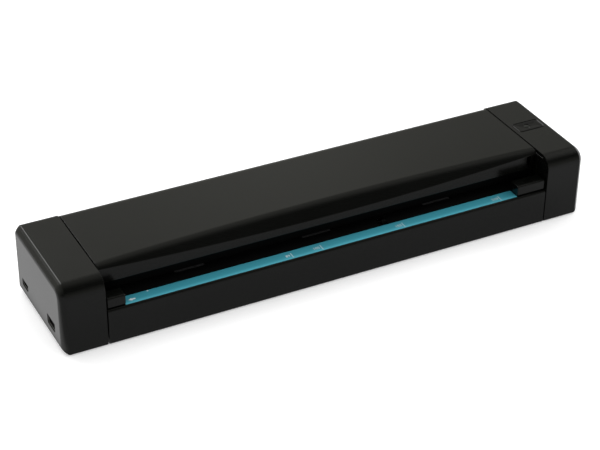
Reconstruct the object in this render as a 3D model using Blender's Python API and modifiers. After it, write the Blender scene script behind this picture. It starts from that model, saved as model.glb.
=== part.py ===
"""A portable sheet-fed scanner: two end caps, a hinged cover and the paper path between them.

X runs along the scanner, +X to the right seen from the front. -Y is the front, where the sheet goes in,
and +Z is up. The origin is on the desk, under the middle of the body. All lengths are in metres.
"""

import math

import bmesh
import bpy
from mathutils import Matrix

MM = 0.001

# The body's walls, caps, feet and clearances
FOOT_STAND = 0.4 * MM
CAP_LENGTH = 23.1 * MM
WALL = 1.8 * MM
SEAM_GAP = 0.5 * MM
SEAT_GAP = 0.3 * MM
RUN_GAP = 0.10 * MM
OVERRUN = 2.0 * MM
LAP = 0.4 * MM

# Rounding of the body's cross-section, and the slanting band between the sides and each flat end
TOP_FRONT_RADIUS = 7.2 * MM
CAP_BACK_RADIUS = 4.2 * MM
TOP_BACK_RADIUS = 5.4 * MM
BOTTOM_BACK_RADIUS = 4.0 * MM
BOTTOM_FRONT_RADIUS = 0.8 * MM
BAND = 3.1 * MM
LEAST_RADIUS = 0.2 * MM
# The band's full curve: distance in from the sides and back from the end face, as shares of its width
BAND_SHARES = ((1, 0), (0.70, 0.19), (0.44, 0.44), (0.20, 0.71), (0, 1))

# The paper path: its level over the body's underside, its width, and the heights of mouth and lip
PAPER_RISE = 19.4 * MM
PAPER_WIDTH = 220.0 * MM
MOUTH_HEIGHT = 8.4 * MM
LIP_HEIGHT = 10.1 * MM
PANEL_EDGE_RADIUS = 1.5 * MM
FLANGE_DEPTH = 8.5 * MM
FLANGE_THICKNESS = 1.6 * MM
STRIP_THICKNESS = 0.4 * MM
STRIP_WIDTH = 6.6 * MM
STRIP_FRONT = 1.6 * MM

# The edge guide blocks at the ends of the strip
LEFT_GUIDE_WIDTH = 9.35 * MM
RIGHT_GUIDE_WIDTH = 16.55 * MM
GUIDE_FRONT = 1.1 * MM
GUIDE_DEPTH = 7.1 * MM
GUIDE_HEIGHT = 5.7 * MM
GUIDE_EDGE = 0.6 * MM

# The cover: its front roll-over edge, lip and notch
LIP_SETBACK = 11.1 * MM
ROLL_ANGLE = 48.0
ROLL_TOUCH = 3.3 * MM
ROLL_INNER = 6.0 * MM
LIP_TOP_TOUCH = 0.4 * MM
CREASE_DROP = 1.7 * MM
CREASE_SAG = 4.2 * MM
LIP_EDGE = 0.5 * MM
NOTCH_WIDTH = 6.2 * MM
NOTCH_ROOF = 2.6 * MM
COVER_STATIONS = 17
HOOK_END_ANGLE = -60.0
CHEEK_THICKNESS = 1.8 * MM
CHEEK_RISE = 1.5 * MM
CHEEK_FRONT = 2.6 * MM
COVER_RIB_THICKNESS = 1.6 * MM
RIB_SHARES = (-0.36, 0.0, 0.36)

# The rear wall with the slot that the sheet leaves by
REAR_EDGE = 0.5 * MM
REAR_WALL_DROP = 8.3 * MM
EXIT_SLOT_HEIGHT = 5.2 * MM
EXIT_SLOT_DROP = 0.6 * MM
SLOT_END_GAP = 2.0 * MM

# The end plates that close the housing and carry the shafts
PLATE_THICKNESS = 1.8 * MM
KEY_DEPTH = 5.0 * MM
KEY_THICKNESS = 2.0 * MM
KEY_END = 9.0 * MM
LEDGE_WIDTH = 3.8 * MM
LEDGE_END = 1.3 * MM
LEDGE_THICKNESS = 1.4 * MM

# Hinge
HINGE_PIN_RADIUS = 2.0 * MM
HINGE_BORE_RADIUS = 1.0 * MM
HINGE_PIN_LENGTH = 5.0 * MM

# Guide plates
BED_THICKNESS = 1.2 * MM
UPPER_GAP = 1.0 * MM
UPPER_THICKNESS = 1.2 * MM
THROAT_DEPTH = 16.0 * MM
UPPER_REAR_RUN = 5.5 * MM
UPPER_REAR_RISE = 4.0 * MM
UPPER_FLAT_END = 10.5 * MM
SLOT_CLEARANCE = 0.6 * MM

# Rollers and their shafts
FEED_DEPTH = 20.0 * MM
EXIT_MARGIN = 15.5 * MM
ROLLER_RADIUS = 5.5 * MM
ROLLER_WIDTH = 16.0 * MM
ROLLER_PROUD = 0.2 * MM
ROLLER_PITCH = 70.0 * MM
ROLLER_COUNT = 3
SHAFT_RADIUS = 2.0 * MM
SHAFT_TAIL = 1.4 * MM
PINCH_RADIUS = 3.6 * MM
PINCH_WIDTH = 12.0 * MM
PINCH_AXLE_RADIUS = 1.2 * MM
NIP_GAP = 0.3 * MM
BUSH_RADIUS = 3.0 * MM
BUSH_FLANGE_RADIUS = 3.8 * MM
BUSH_FLANGE = 0.9 * MM
ROUND_SIDES = 24

# Gear train
GEAR_MODULE = 0.5 * MM
ROLLER_TEETH = 28
IDLER_TEETH = 31
PINION_TEETH = 12
GEAR_WIDTH = 3.0 * MM
GEAR_SIDE_GAP = 0.6 * MM
TOOTH_SHARE = 0.4
TOOTH_TIP_SHARE = 0.22
ADDENDUM_SHARE = 0.9
DEDENDUM_SHARE = 1.25
STUD_RADIUS = 1.2 * MM
GEAR_PLATE_THICKNESS = 1.0 * MM
GEAR_PLATE_SIDE = 10.5 * MM
GEAR_PLATE_LOW = 8.8 * MM
GEAR_PLATE_STEP = 11.4 * MM
GEAR_PLATE_HIGH = 9.4 * MM
GEAR_PLATE_HALF = 8.5 * MM
POST_RADIUS = 1.6 * MM
POST_OFFSET = 7.9 * MM
POST_DROP = 7.2 * MM
POST_BACK = 9.5 * MM
POST_BACK_RISE = 7.4 * MM
MOTOR_RADIUS = 9.0 * MM
MOTOR_LENGTH = 12.6 * MM
MOTOR_EDGE = 0.8 * MM
MOTOR_SHAFT_RADIUS = 0.8 * MM
MOTOR_BORE_DEPTH = 2.4 * MM
MOTOR_SHAFT_REACH = 2.0 * MM

# Contact image sensors
SENSOR_WIDTH = 9.0 * MM
SENSOR_HEIGHT = 8.0 * MM
SENSOR_MARGIN = 2.5 * MM
LOWER_SENSOR_GAP = 1.5 * MM
UPPER_SENSOR_GAP = 4.4 * MM
GLASS_THICKNESS = 0.7 * MM
GLASS_MARGIN = 0.6 * MM
SENSOR_RIB_THICKNESS = 1.6 * MM
SENSOR_RIB_DEPTH = 12.0 * MM

# Leaf springs on the pinch axles
SPRING_THICKNESS = 0.5 * MM
SPRING_WIDTH = 5.0 * MM
SPRING_FOOT = 6.0 * MM
SPRING_RUN = 11.0 * MM
SPRING_BELLY = 8.0 * MM

# Paper flag
FLAG_THICKNESS = 1.6 * MM
FLAG_WIDTH = 2.4 * MM
FLAG_PROUD = 1.6 * MM
FLAG_DEPTH = 10.6 * MM
FLAG_DROP = 4.8 * MM
FLAG_TAIL = 3.0 * MM
FLAG_PIN_RADIUS = 0.8 * MM
FLAG_PIN_LENGTH = 9.0 * MM
FLAG_STATION = 35.0 * MM
FLAG_SWING = 5.4 * MM
EAR_THICKNESS = 1.4 * MM
EAR_HALF = 1.9 * MM

# Sockets and the main board in the left cap
BOARD_THICKNESS = 1.6 * MM
BOARD_RISE = 5.9 * MM
BOARD_MARGIN = 3.4 * MM
BOARD_SIDE_GAP = 0.6 * MM
DATA_MARGIN = 13.1 * MM
DATA_WIDTH = 7.3 * MM
DATA_HEIGHT = 3.0 * MM
DATA_LENGTH = 6.4 * MM
POWER_DEPTH = 15.5 * MM
POWER_WIDTH = 9.4 * MM
POWER_HEIGHT = 4.4 * MM
POWER_LENGTH = 8.6 * MM
SOCKET_CHAMFER = 1.0 * MM
SOCKET_WALL = 0.5 * MM
SOCKET_FLOOR = 1.4 * MM
SOCKET_SETBACK = 0.4 * MM
TONGUE_THICKNESS = 0.6 * MM
TONGUE_SETBACK = 0.8 * MM
TONGUE_SHARE = 0.56
BOARD_POST_RADIUS = 2.0 * MM
BOARD_POST_INSET = 6.0 * MM

# Button, its switch and board in the right cap
BUTTON_LENGTH = 15.5 * MM
BUTTON_WIDTH = 9.0 * MM
BUTTON_CORNER = 1.4 * MM
BUTTON_OFFSET = 10.25 * MM
BUTTON_MOTOR_GAP = 0.9 * MM
BUTTON_GAP = 0.25 * MM
BUTTON_TRAVEL = 0.6 * MM
BUTTON_FLANGE = 0.8 * MM
BUTTON_FLANGE_THICKNESS = 0.8 * MM
STEM_RADIUS = 1.6 * MM
STEM_LENGTH = 0.9 * MM
WINDOW_RADIUS = 1.9 * MM
WINDOW_THICKNESS = 1.1 * MM
WINDOW_OFFSET = 0.7 * MM
SWITCH_SIDE = 6.0 * MM
SWITCH_HEIGHT = 2.7 * MM
PLUNGER_RADIUS = 1.6 * MM
PLUNGER_HEIGHT = 0.6 * MM
BUTTON_BOARD_THICKNESS = 1.3 * MM
BUTTON_BOARD_LENGTH = 15.0 * MM
BUTTON_BOARD_FRONT = 9.2 * MM
BUTTON_BOARD_BACK = 4.1 * MM
BUTTON_POST_RADIUS = 1.3 * MM
BUTTON_POST_SPACING = 11.0 * MM
BUTTON_POST_INSET = 1.6 * MM

# Leads
RIBBON_THICKNESS = 0.3 * MM
RIBBON_WIDTH = 7.0 * MM
RIBBON_RUN = 5.0 * MM
RIBBON_LANDING = 3.0 * MM
RIBBON_WINDOW_MARGIN = 1.5 * MM
LEAD_RADIUS = 0.6 * MM
LEAD_BEND = 3.0 * MM
LEAD_MEETING = 0.6 * MM
LEAD_STEPS = 6

# Feet and case screws
FOOT_RADIUS = 5.0 * MM
FOOT_SEAT = 0.6 * MM
FOOT_INSET_X = 22.0 * MM
FOOT_INSET_Y = 11.0 * MM
SCREW_HEAD_RADIUS = 2.3 * MM
SCREW_SHANK_RADIUS = 1.05 * MM
SCREW_CONE = 1.25 * MM
SCREW_RIM = 0.3 * MM
SCREW_LENGTH = 3.8 * MM
SCREW_SINK = 0.15 * MM
SCREW_SOCKET_RADIUS = 0.9 * MM
SCREW_SOCKET_DEPTH = 0.8 * MM
SCREW_INSET = 4.0 * MM
SCREW_SPACING = 40.0 * MM
BOSS_WIDTH = 6.0 * MM
BOSS_LENGTH = 6.0 * MM
BOSS_HEIGHT = 2.4 * MM

# Places worked out from the sizes above
EXIT_SPACING = GEAR_MODULE * (ROLLER_TEETH + IDLER_TEETH)
BODY_DEPTH = FEED_DEPTH + EXIT_SPACING + EXIT_MARGIN
FRONT = -BODY_DEPTH / 2
BACK = BODY_DEPTH / 2
BOTTOM = FOOT_STAND
TOP = BOTTOM + PAPER_RISE + MOUTH_HEIGHT + LIP_HEIGHT
SKIN_X = (LEFT_GUIDE_WIDTH + PAPER_WIDTH + RIGHT_GUIDE_WIDTH) / 2 + SEAT_GAP
SEAM_X = SKIN_X + SEAM_GAP / 2
CAP_X = SEAM_X + SEAM_GAP / 2
END_X = SEAM_X + CAP_LENGTH
PLATE_IN = CAP_X + LAP / 8
PLATE_OUT = PLATE_IN + PLATE_THICKNESS
PAPER_Z = BOTTOM + PAPER_RISE
PAPER_X = (LEFT_GUIDE_WIDTH - RIGHT_GUIDE_WIDTH) / 2
PAPER_LEFT = PAPER_X - PAPER_WIDTH / 2
PAPER_RIGHT = PAPER_X + PAPER_WIDTH / 2
FLANGE_BACK = FRONT + FLANGE_DEPTH
CEILING = TOP - WALL
FLOOR = BOTTOM + WALL
HINGE_Y = BACK - TOP_BACK_RADIUS
HINGE_Z = TOP - TOP_BACK_RADIUS
LIP_Y = FRONT + LIP_SETBACK
INNER_Y = LIP_Y + ROLL_INNER
LIP_Z = PAPER_Z + MOUTH_HEIGHT
FEED_Y = FRONT + FEED_DEPTH
EXIT_Y = FEED_Y + EXIT_SPACING
SHAFT_Z = PAPER_Z + ROLLER_PROUD - ROLLER_RADIUS
PINCH_Z = PAPER_Z + ROLLER_PROUD + NIP_GAP + PINCH_RADIUS
ROLLER_X = [PAPER_X + (i - (ROLLER_COUNT - 1) / 2) * ROLLER_PITCH for i in range(ROLLER_COUNT)]
BED_Z = PAPER_Z - BED_THICKNESS
GUIDE_Z = PAPER_Z + UPPER_GAP
GEAR_X = PLATE_OUT + GEAR_SIDE_GAP
GEAR_PLATE_X = GEAR_X + GEAR_WIDTH + GEAR_SIDE_GAP
PITCH_ROLLER = GEAR_MODULE * ROLLER_TEETH / 2
IDLER_Y = (FEED_Y + EXIT_Y) / 2
PINION_Z = SHAFT_Z + PITCH_ROLLER + GEAR_MODULE * PINION_TEETH / 2
LOWER_SENSOR_Y = FEED_Y + ROLLER_RADIUS + LOWER_SENSOR_GAP + SENSOR_WIDTH / 2
UPPER_SENSOR_Y = EXIT_Y - PINCH_RADIUS - UPPER_SENSOR_GAP - SENSOR_WIDTH / 2
FLAG_Y = FRONT + FLAG_DEPTH
FLAG_Z = PAPER_Z - FLAG_DROP
FLAG_X = PAPER_X + FLAG_STATION
BOARD_Z = BOTTOM + BOARD_RISE
BOARD_TOP = BOARD_Z + BOARD_THICKNESS
BUTTON_X = SEAM_X + BUTTON_OFFSET
BUTTON_Y = EXIT_Y - MOTOR_RADIUS - BUTTON_MOTOR_GAP - BUTTON_BOARD_BACK


def fresh_collection(name):
    """A new collection linked to the scene."""
    collection = bpy.data.collections.new(name)
    bpy.context.scene.collection.children.link(collection)
    return collection


for old in list(bpy.data.objects):
    bpy.data.objects.remove(old, do_unlink=True)
PARTS = fresh_collection("sheet_fed_scanner")
CUTTERS = fresh_collection("cutters")


def material(name, colour, roughness, metallic=0.0, transmission=0.0):
    """A Principled material in one colour."""
    made = bpy.data.materials.new(name)
    made.use_nodes = True
    shader = made.node_tree.nodes["Principled BSDF"]
    shader.inputs["Base Color"].default_value = (*colour, 1.0)
    shader.inputs["Roughness"].default_value = roughness
    shader.inputs["Metallic"].default_value = metallic
    shader.inputs["Transmission Weight"].default_value = transmission
    made.diffuse_color = (*colour, 1.0)
    return made


SHELL_BLACK = material("shell_black", (0.020, 0.020, 0.019), 0.32)
INNER_BLACK = material("inner_black", (0.012, 0.012, 0.012), 0.50)
STRIP_BLUE = material("strip_blue", (0.035, 0.30, 0.38), 0.45)
RUBBER_GREY = material("rubber_grey", (0.05, 0.05, 0.05), 0.80)
STEEL = material("steel", (0.62, 0.62, 0.60), 0.30, 1.0)
ACETAL_WHITE = material("acetal_white", (0.72, 0.71, 0.66), 0.45)
BRONZE = material("bronze", (0.50, 0.34, 0.16), 0.40, 1.0)
BOARD_GREEN = material("board_green", (0.02, 0.16, 0.07), 0.45)
GLASS = material("glass", (0.75, 0.82, 0.82), 0.05, 0.0, 0.9)
WINDOW_CLEAR = material("window_clear", (0.30, 0.32, 0.30), 0.15, 0.0, 0.4)
LEAD_GREY = material("lead_grey", (0.30, 0.30, 0.31), 0.55)


def add(name, mesh, place, look=None, cutter=False):
    """Puts a mesh into the scene as a named piece, or as a hidden cutter."""
    piece = bpy.data.objects.new(name, mesh)
    piece.location = place
    if cutter:
        CUTTERS.objects.link(piece)
        piece.hide_render = True
        piece.display_type = "WIRE"
        return piece
    mesh.materials.clear()
    mesh.materials.append(look)
    PARTS.objects.link(piece)
    return piece


def arc(centre, radius, start, end, steps):
    """Points on an arc between two angles in degrees, both ends included."""
    turn = math.radians(end - start)
    first = math.radians(start)
    return [
        (
            centre[0] + radius * math.cos(first + turn * i / steps),
            centre[1] + radius * math.sin(first + turn * i / steps),
        )
        for i in range(steps + 1)
    ]


def circle(centre, radius, sides=ROUND_SIDES):
    """A closed ring of points."""
    return arc(centre, radius, 0, 360, sides)[:-1]


def rectangle(low, high):
    """The four corners of a rectangle."""
    return [low, (high[0], low[1]), high, (low[0], high[1])]


def rounded(low, high, radii, steps=4):
    """A rectangle with four rounded corners: low left, low right, high right and high left."""
    centres = [
        (low[0] + radii[0], low[1] + radii[0]),
        (high[0] - radii[1], low[1] + radii[1]),
        (high[0] - radii[2], high[1] - radii[2]),
        (low[0] + radii[3], high[1] - radii[3]),
    ]
    points = []
    for corner, (centre, radius) in enumerate(zip(centres, radii)):
        start = 180 + 90 * corner
        points += arc(centre, radius, start, start + 90, steps)
    return points


def body_profile(inset, steps=6):
    """The scanner's cross-section in Y and Z, drawn in by a distance all round."""
    radii = [BOTTOM_FRONT_RADIUS, BOTTOM_BACK_RADIUS, CAP_BACK_RADIUS, TOP_FRONT_RADIUS]
    radii = [max(radius - inset, LEAST_RADIUS) for radius in radii]
    return rounded((FRONT + inset, BOTTOM + inset), (BACK - inset, TOP - inset), radii, steps)


# Turns a flat outline so that its thickness runs along X, Y or Z
TURNS = {
    "x": Matrix(((0, 0, 1, 0), (1, 0, 0, 0), (0, 1, 0, 0), (0, 0, 0, 1))),
    "y": Matrix(((1, 0, 0, 0), (0, 0, -1, 0), (0, 1, 0, 0), (0, 0, 0, 1))),
    "z": Matrix.Identity(4),
}


def slab(name, outlines, along, start, end, look=None, centre=(0, 0), cutter=False):
    """A flat outline with holes, from one place to another along an axis.

    The outline's points are (Y, Z) for a slab along X, (X, Z) along Y and (X, Y) along Z, and its
    object's origin is at the given centre, half-way through the thickness.
    """
    curve = bpy.data.curves.new(name + "_outline", "CURVE")
    curve.dimensions = "2D"
    curve.fill_mode = "BOTH"
    curve.extrude = abs(end - start) / 2
    for points in outlines:
        spline = curve.splines.new("POLY")
        spline.points.add(len(points) - 1)
        for point, (u, v) in zip(spline.points, points):
            point.co = (u - centre[0], v - centre[1], 0, 1)
        spline.use_cyclic_u = True
    holder = bpy.data.objects.new(name + "_outline", curve)
    bpy.context.scene.collection.objects.link(holder)
    view = bpy.context.evaluated_depsgraph_get()
    mesh = bpy.data.meshes.new_from_object(holder.evaluated_get(view))
    bpy.data.objects.remove(holder, do_unlink=True)
    mesh.name = name
    mesh.transform(TURNS[along])
    weld(mesh)
    middle = (start + end) / 2
    places = {
        "x": (middle, centre[0], centre[1]),
        "y": (centre[0], middle, centre[1]),
        "z": (centre[0], centre[1], middle),
    }
    return add(name, mesh, places[along], look, cutter)


def weld(mesh, flatten=False):
    """Joins vertices that lie on each other and points the faces outwards, as triangles if asked."""
    grid = bmesh.new()
    grid.from_mesh(mesh)
    bmesh.ops.remove_doubles(grid, verts=grid.verts, dist=MM / 1000)
    if flatten:
        bmesh.ops.triangulate(grid, faces=[face for face in grid.faces if len(face.verts) == 4])
    bmesh.ops.recalc_face_normals(grid, faces=grid.faces)
    grid.to_mesh(mesh)
    grid.free()


def block(name, low, high, look=None, cutter=False, bevel=0.0):
    """A box between two corners, with its edges rounded if asked."""
    mesh = bpy.data.meshes.new(name)
    grid = bmesh.new()
    bmesh.ops.create_cube(grid, size=1)
    size = [b - a for a, b in zip(low, high)]
    bmesh.ops.scale(grid, vec=size, verts=grid.verts)
    grid.to_mesh(mesh)
    grid.free()
    piece = add(name, mesh, [(a + b) / 2 for a, b in zip(low, high)], look, cutter)
    if bevel:
        rounding = piece.modifiers.new("edges", "BEVEL")
        rounding.width = bevel
        rounding.segments = 2
    return piece


def rod(name, along, radius, start, end, centre, look=None, cutter=False, sides=ROUND_SIDES):
    """A cylinder between two places along an axis, about a centre in the other two."""
    mesh = bpy.data.meshes.new(name)
    grid = bmesh.new()
    bmesh.ops.create_cone(
        grid, cap_ends=True, segments=sides, radius1=radius, radius2=radius, depth=abs(end - start)
    )
    grid.to_mesh(mesh)
    grid.free()
    mesh.transform(TURNS[along])
    middle = (start + end) / 2
    places = {
        "x": (middle, centre[0], centre[1]),
        "y": (centre[0], middle, centre[1]),
        "z": (centre[0], centre[1], middle),
    }
    piece = add(name, mesh, places[along], look, cutter)
    mesh.shade_smooth()
    mesh.set_sharp_from_angle(angle=math.radians(40))
    return piece


def turned(name, profile, along, place, look=None, cutter=False, sides=ROUND_SIDES):
    """A turned piece: its profile of (radius, position along the axis) runs down the outer side."""
    mesh = bpy.data.meshes.new(name)
    edges = [(i, i + 1) for i in range(len(profile) - 1)]
    if profile[0][0]:
        edges.append((len(profile) - 1, 0))
    mesh.from_pydata([(radius, 0, height) for radius, height in profile], edges, [])
    piece = add(name, mesh, place, look, cutter)
    turn = {"x": (0, math.pi / 2, 0), "z": (0, 0, 0)}
    piece.rotation_euler = turn[along]
    screw = piece.modifiers.new("turn", "SCREW")
    screw.steps = sides
    screw.render_steps = sides
    screw.use_merge_vertices = True
    screw.merge_threshold = MM / 1000
    screw.use_normal_calculate = False
    return piece


def shape(piece, operation, others):
    """Cuts other shapes from a piece, or joins them to it."""
    for other in others:
        step = piece.modifiers.new(other.name, "BOOLEAN")
        step.operation = operation
        step.object = other
        step.solver = "EXACT"
    return piece


def cut(piece, *others):
    """Takes the other shapes away from a piece."""
    return shape(piece, "DIFFERENCE", others)


def join(piece, *others):
    """Makes the other shapes part of a piece."""
    return shape(piece, "UNION", others)


def loft(name, rings, look, cutter=False):
    """A solid or a shell through rings of equal point counts, its ends closed by flat faces."""
    count = len(rings[0])
    faces = [tuple(range(count))[::-1]]
    for k in range(len(rings) - 1):
        low, high = k * count, (k + 1) * count
        for i in range(count):
            j = (i + 1) % count
            faces.append((low + i, low + j, high + j, high + i))
    faces.append(tuple(range((len(rings) - 1) * count, len(rings) * count)))
    mesh = bpy.data.meshes.new(name)
    mesh.from_pydata([point for ring in rings for point in ring], [], faces)
    weld(mesh, flatten=True)
    return add(name, mesh, (0, 0, 0), look, cutter)


def tube(name, points, look, radius=LEAD_RADIUS):
    """A round lead along a list of points."""
    curve = bpy.data.curves.new(name, "CURVE")
    curve.dimensions = "3D"
    curve.bevel_depth = radius
    curve.bevel_resolution = 2
    curve.use_fill_caps = True
    spline = curve.splines.new("POLY")
    spline.points.add(len(points) - 1)
    for point, (x, y, z) in zip(spline.points, points):
        point.co = (x, y, z, 1)
    holder = bpy.data.objects.new(name + "_path", curve)
    bpy.context.scene.collection.objects.link(holder)
    view = bpy.context.evaluated_depsgraph_get()
    mesh = bpy.data.meshes.new_from_object(holder.evaluated_get(view))
    bpy.data.objects.remove(holder, do_unlink=True)
    weld(mesh)
    return add(name, mesh, (0, 0, 0), look)


def smooth_path(corners, bend):
    """A route through corner points, each corner rounded by an arc-like bend."""
    route = [corners[0]]
    for before, corner, after in zip(corners, corners[1:], corners[2:]):
        toward = [(a - c) for a, c in zip(before, corner)]
        away = [(a - c) for a, c in zip(after, corner)]
        reach_in = bend / math.dist(before, corner)
        reach_out = bend / math.dist(after, corner)
        for i in range(LEAD_STEPS + 1):
            t = i / LEAD_STEPS
            route.append(
                tuple(
                    c + (1 - t) ** 2 * reach_in * p + t**2 * reach_out * q
                    for c, p, q in zip(corner, toward, away)
                )
            )
    route.append(corners[-1])
    return route


def cap_shell(name, side):
    """One end cap: a bucket with the body's cross-section, a slanting band and its open side inwards."""
    rings = [(inset * BAND, END_X - depth * BAND) for inset, depth in BAND_SHARES]
    inner = BAND - WALL
    rings += [
        (0, CAP_X),
        (WALL, CAP_X),
        (WALL, END_X - WALL - inner),
        (WALL + inner, END_X - WALL),
    ]
    return loft(name, [[(side * x, y, z) for y, z in body_profile(inset)] for inset, x in rings], SHELL_BLACK)


def chamfered(centre, width, height, chamfer):
    """A socket's outline in Y and Z: a rectangle with its two lower corners cut off."""
    y, z = centre
    return [
        (y - width / 2 + chamfer, z - height / 2),
        (y + width / 2 - chamfer, z - height / 2),
        (y + width / 2, z - height / 2 + chamfer),
        (y + width / 2, z + height / 2),
        (y - width / 2, z + height / 2),
        (y - width / 2, z - height / 2 + chamfer),
    ]


# Each socket's middle in Y, width, height and length
SOCKETS = {
    "data_socket": (BACK - DATA_MARGIN, DATA_WIDTH, DATA_HEIGHT, DATA_LENGTH),
    "power_socket": (FRONT + POWER_DEPTH, POWER_WIDTH, POWER_HEIGHT, POWER_LENGTH),
}


def socket_centre(name):
    """The middle of a socket in Y and Z: it stands on the main board."""
    y, _, height, _ = SOCKETS[name]
    return y, BOARD_TOP + SEAT_GAP + height / 2


def make_left_cap():
    """The left cap, with the two socket openings, screw holes and the posts under the main board."""
    cap = cap_shell("left_end_cap", -1)
    for name, (_, width, height, _) in SOCKETS.items():
        opening = chamfered(
            socket_centre(name), width + 2 * SEAT_GAP, height + 2 * SEAT_GAP, SOCKET_CHAMFER
        )
        start, end = -END_X - OVERRUN, -END_X + WALL + OVERRUN
        cut(cap, slab(name + "_opening", [opening], "x", start, end, cutter=True))
    posts = []
    for i, (x, y) in enumerate(board_posts()):
        low, high = FLOOR - LAP, BOARD_Z - SEAT_GAP
        posts.append(rod(f"board_post_{i}", "z", BOARD_POST_RADIUS, low, high, (x, y), cutter=True))
    join(cap, *posts)
    cut(cap, *[screw_cutter(f"left_screw_hole_{i}", x, y) for i, (x, y) in enumerate(screw_places(-1))])


def board_edges():
    """The main board's lowest and highest corner in X and Y."""
    low = (-END_X + WALL + BOARD_SIDE_GAP, FRONT + WALL + BOARD_MARGIN)
    high = (-PLATE_OUT - BOARD_SIDE_GAP, BACK - WALL - BOARD_MARGIN)
    return low, high


def board_posts():
    """Where the main board is held: near the middle of its outer and inner long sides."""
    low, high = board_edges()
    middle = (low[0] + high[0]) / 2
    return [(middle, -BOARD_POST_INSET), (middle, BOARD_POST_INSET)]


def screw_places(side):
    """The two case screws of one cap, in X and Y."""
    x = side * (PLATE_OUT + SCREW_INSET)
    return [(x, -SCREW_SPACING / 2), (x, SCREW_SPACING / 2)]


def screw_profile(gap):
    """A countersunk screw from its tip up to its flat head, which faces down, grown by a gap."""
    return [
        (0, SCREW_LENGTH + gap),
        (SCREW_SHANK_RADIUS + gap, SCREW_LENGTH + gap),
        (SCREW_SHANK_RADIUS + gap, SCREW_RIM + SCREW_CONE + gap),
        (SCREW_HEAD_RADIUS + gap, SCREW_RIM + gap),
    ]


def screw_cutter(name, x, y):
    """The countersunk hole for one case screw."""
    gap = SEAT_GAP
    down = SCREW_SINK + OVERRUN
    profile = screw_profile(gap) + [(SCREW_HEAD_RADIUS + gap, -down), (0, -down)]
    return turned(name, profile, "z", (x, y, BOTTOM + SCREW_SINK), cutter=True)


def make_right_cap():
    """The right cap, with the button's opening, screw holes and posts for the button's board."""
    cap = cap_shell("right_end_cap", 1)
    opening = button_outline(0)
    cut(cap, slab("button_opening", [opening], "z", CEILING - OVERRUN, TOP + OVERRUN, cutter=True))
    posts = []
    for i, (x, y) in enumerate(button_posts()):
        low = switch_floor() + SEAT_GAP
        high = CEILING + LAP
        posts.append(rod(f"button_post_{i}", "z", BUTTON_POST_RADIUS, low, high, (x, y), cutter=True))
    join(cap, *posts)
    cut(cap, *[screw_cutter(f"right_screw_hole_{i}", x, y) for i, (x, y) in enumerate(screw_places(1))])


def button_outline(inset):
    """The button's rounded rectangle in X and Y, drawn in by a distance."""
    low = (BUTTON_X - BUTTON_LENGTH / 2 + inset, BUTTON_Y - BUTTON_WIDTH / 2 + inset)
    high = (BUTTON_X + BUTTON_LENGTH / 2 - inset, BUTTON_Y + BUTTON_WIDTH / 2 - inset)
    return rounded(low, high, [max(BUTTON_CORNER - inset, LEAST_RADIUS)] * 4, 3)


def button_posts():
    """The two posts under the cap's roof that carry the button's board."""
    y = BUTTON_Y - BUTTON_BOARD_FRONT + BUTTON_POST_INSET
    return [(BUTTON_X - BUTTON_POST_SPACING / 2, y), (BUTTON_X + BUTTON_POST_SPACING / 2, y)]


def button_flange_corners():
    """The flange that holds the button under the roof: it stands out to the front and back only."""
    half_x = BUTTON_LENGTH / 2 - BUTTON_CORNER
    half_y = BUTTON_WIDTH / 2 + BUTTON_FLANGE
    return (BUTTON_X - half_x, BUTTON_Y - half_y), (BUTTON_X + half_x, BUTTON_Y + half_y)


def button_floor():
    """The underside of the button's flange."""
    return CEILING - SEAT_GAP - BUTTON_FLANGE_THICKNESS


def switch_floor():
    """The top of the button's board: the switch and the stem's free travel fit above it."""
    stack = STEM_LENGTH + BUTTON_TRAVEL + SEAT_GAP + PLUNGER_HEIGHT + SWITCH_HEIGHT + SEAT_GAP
    return button_floor() - stack


def make_button():
    """The scan button with its flange and stem, its light window, the switch and the board."""
    top, floor = TOP, button_floor()
    place = (BUTTON_X, BUTTON_Y)
    button = slab("scan_button", [button_outline(BUTTON_GAP)], "z", floor, top, SHELL_BLACK, place)
    flange = slab(
        "button_flange",
        [rectangle(*button_flange_corners())],
        "z",
        floor,
        floor + BUTTON_FLANGE_THICKNESS,
        cutter=True,
    )
    stem = rod("button_stem", "z", STEM_RADIUS, floor - STEM_LENGTH, floor + LAP, place, cutter=True)
    join(button, flange, stem)
    window = (BUTTON_X - WINDOW_OFFSET, BUTTON_Y)
    seat = TOP - WINDOW_THICKNESS - SEAT_GAP
    cut(button, rod("window_seat", "z", WINDOW_RADIUS + SEAT_GAP, seat, TOP + OVERRUN, window, cutter=True))
    rod("button_window", "z", WINDOW_RADIUS, seat + SEAT_GAP, TOP, window, WINDOW_CLEAR)
    board_top = switch_floor()
    low = (BUTTON_X - BUTTON_BOARD_LENGTH / 2, BUTTON_Y - BUTTON_BOARD_FRONT)
    high = (BUTTON_X + BUTTON_BOARD_LENGTH / 2, BUTTON_Y + BUTTON_BOARD_BACK)
    block("button_board", (*low, board_top - BUTTON_BOARD_THICKNESS), (*high, board_top), BOARD_GREEN)
    half = SWITCH_SIDE / 2
    base = board_top + SEAT_GAP
    switch = block(
        "button_switch",
        (BUTTON_X - half, BUTTON_Y - half, base),
        (BUTTON_X + half, BUTTON_Y + half, base + SWITCH_HEIGHT),
        INNER_BLACK,
    )
    rise = base + SWITCH_HEIGHT
    join(switch, rod("plunger", "z", PLUNGER_RADIUS, rise - LAP, rise + PLUNGER_HEIGHT, place, cutter=True))


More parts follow.
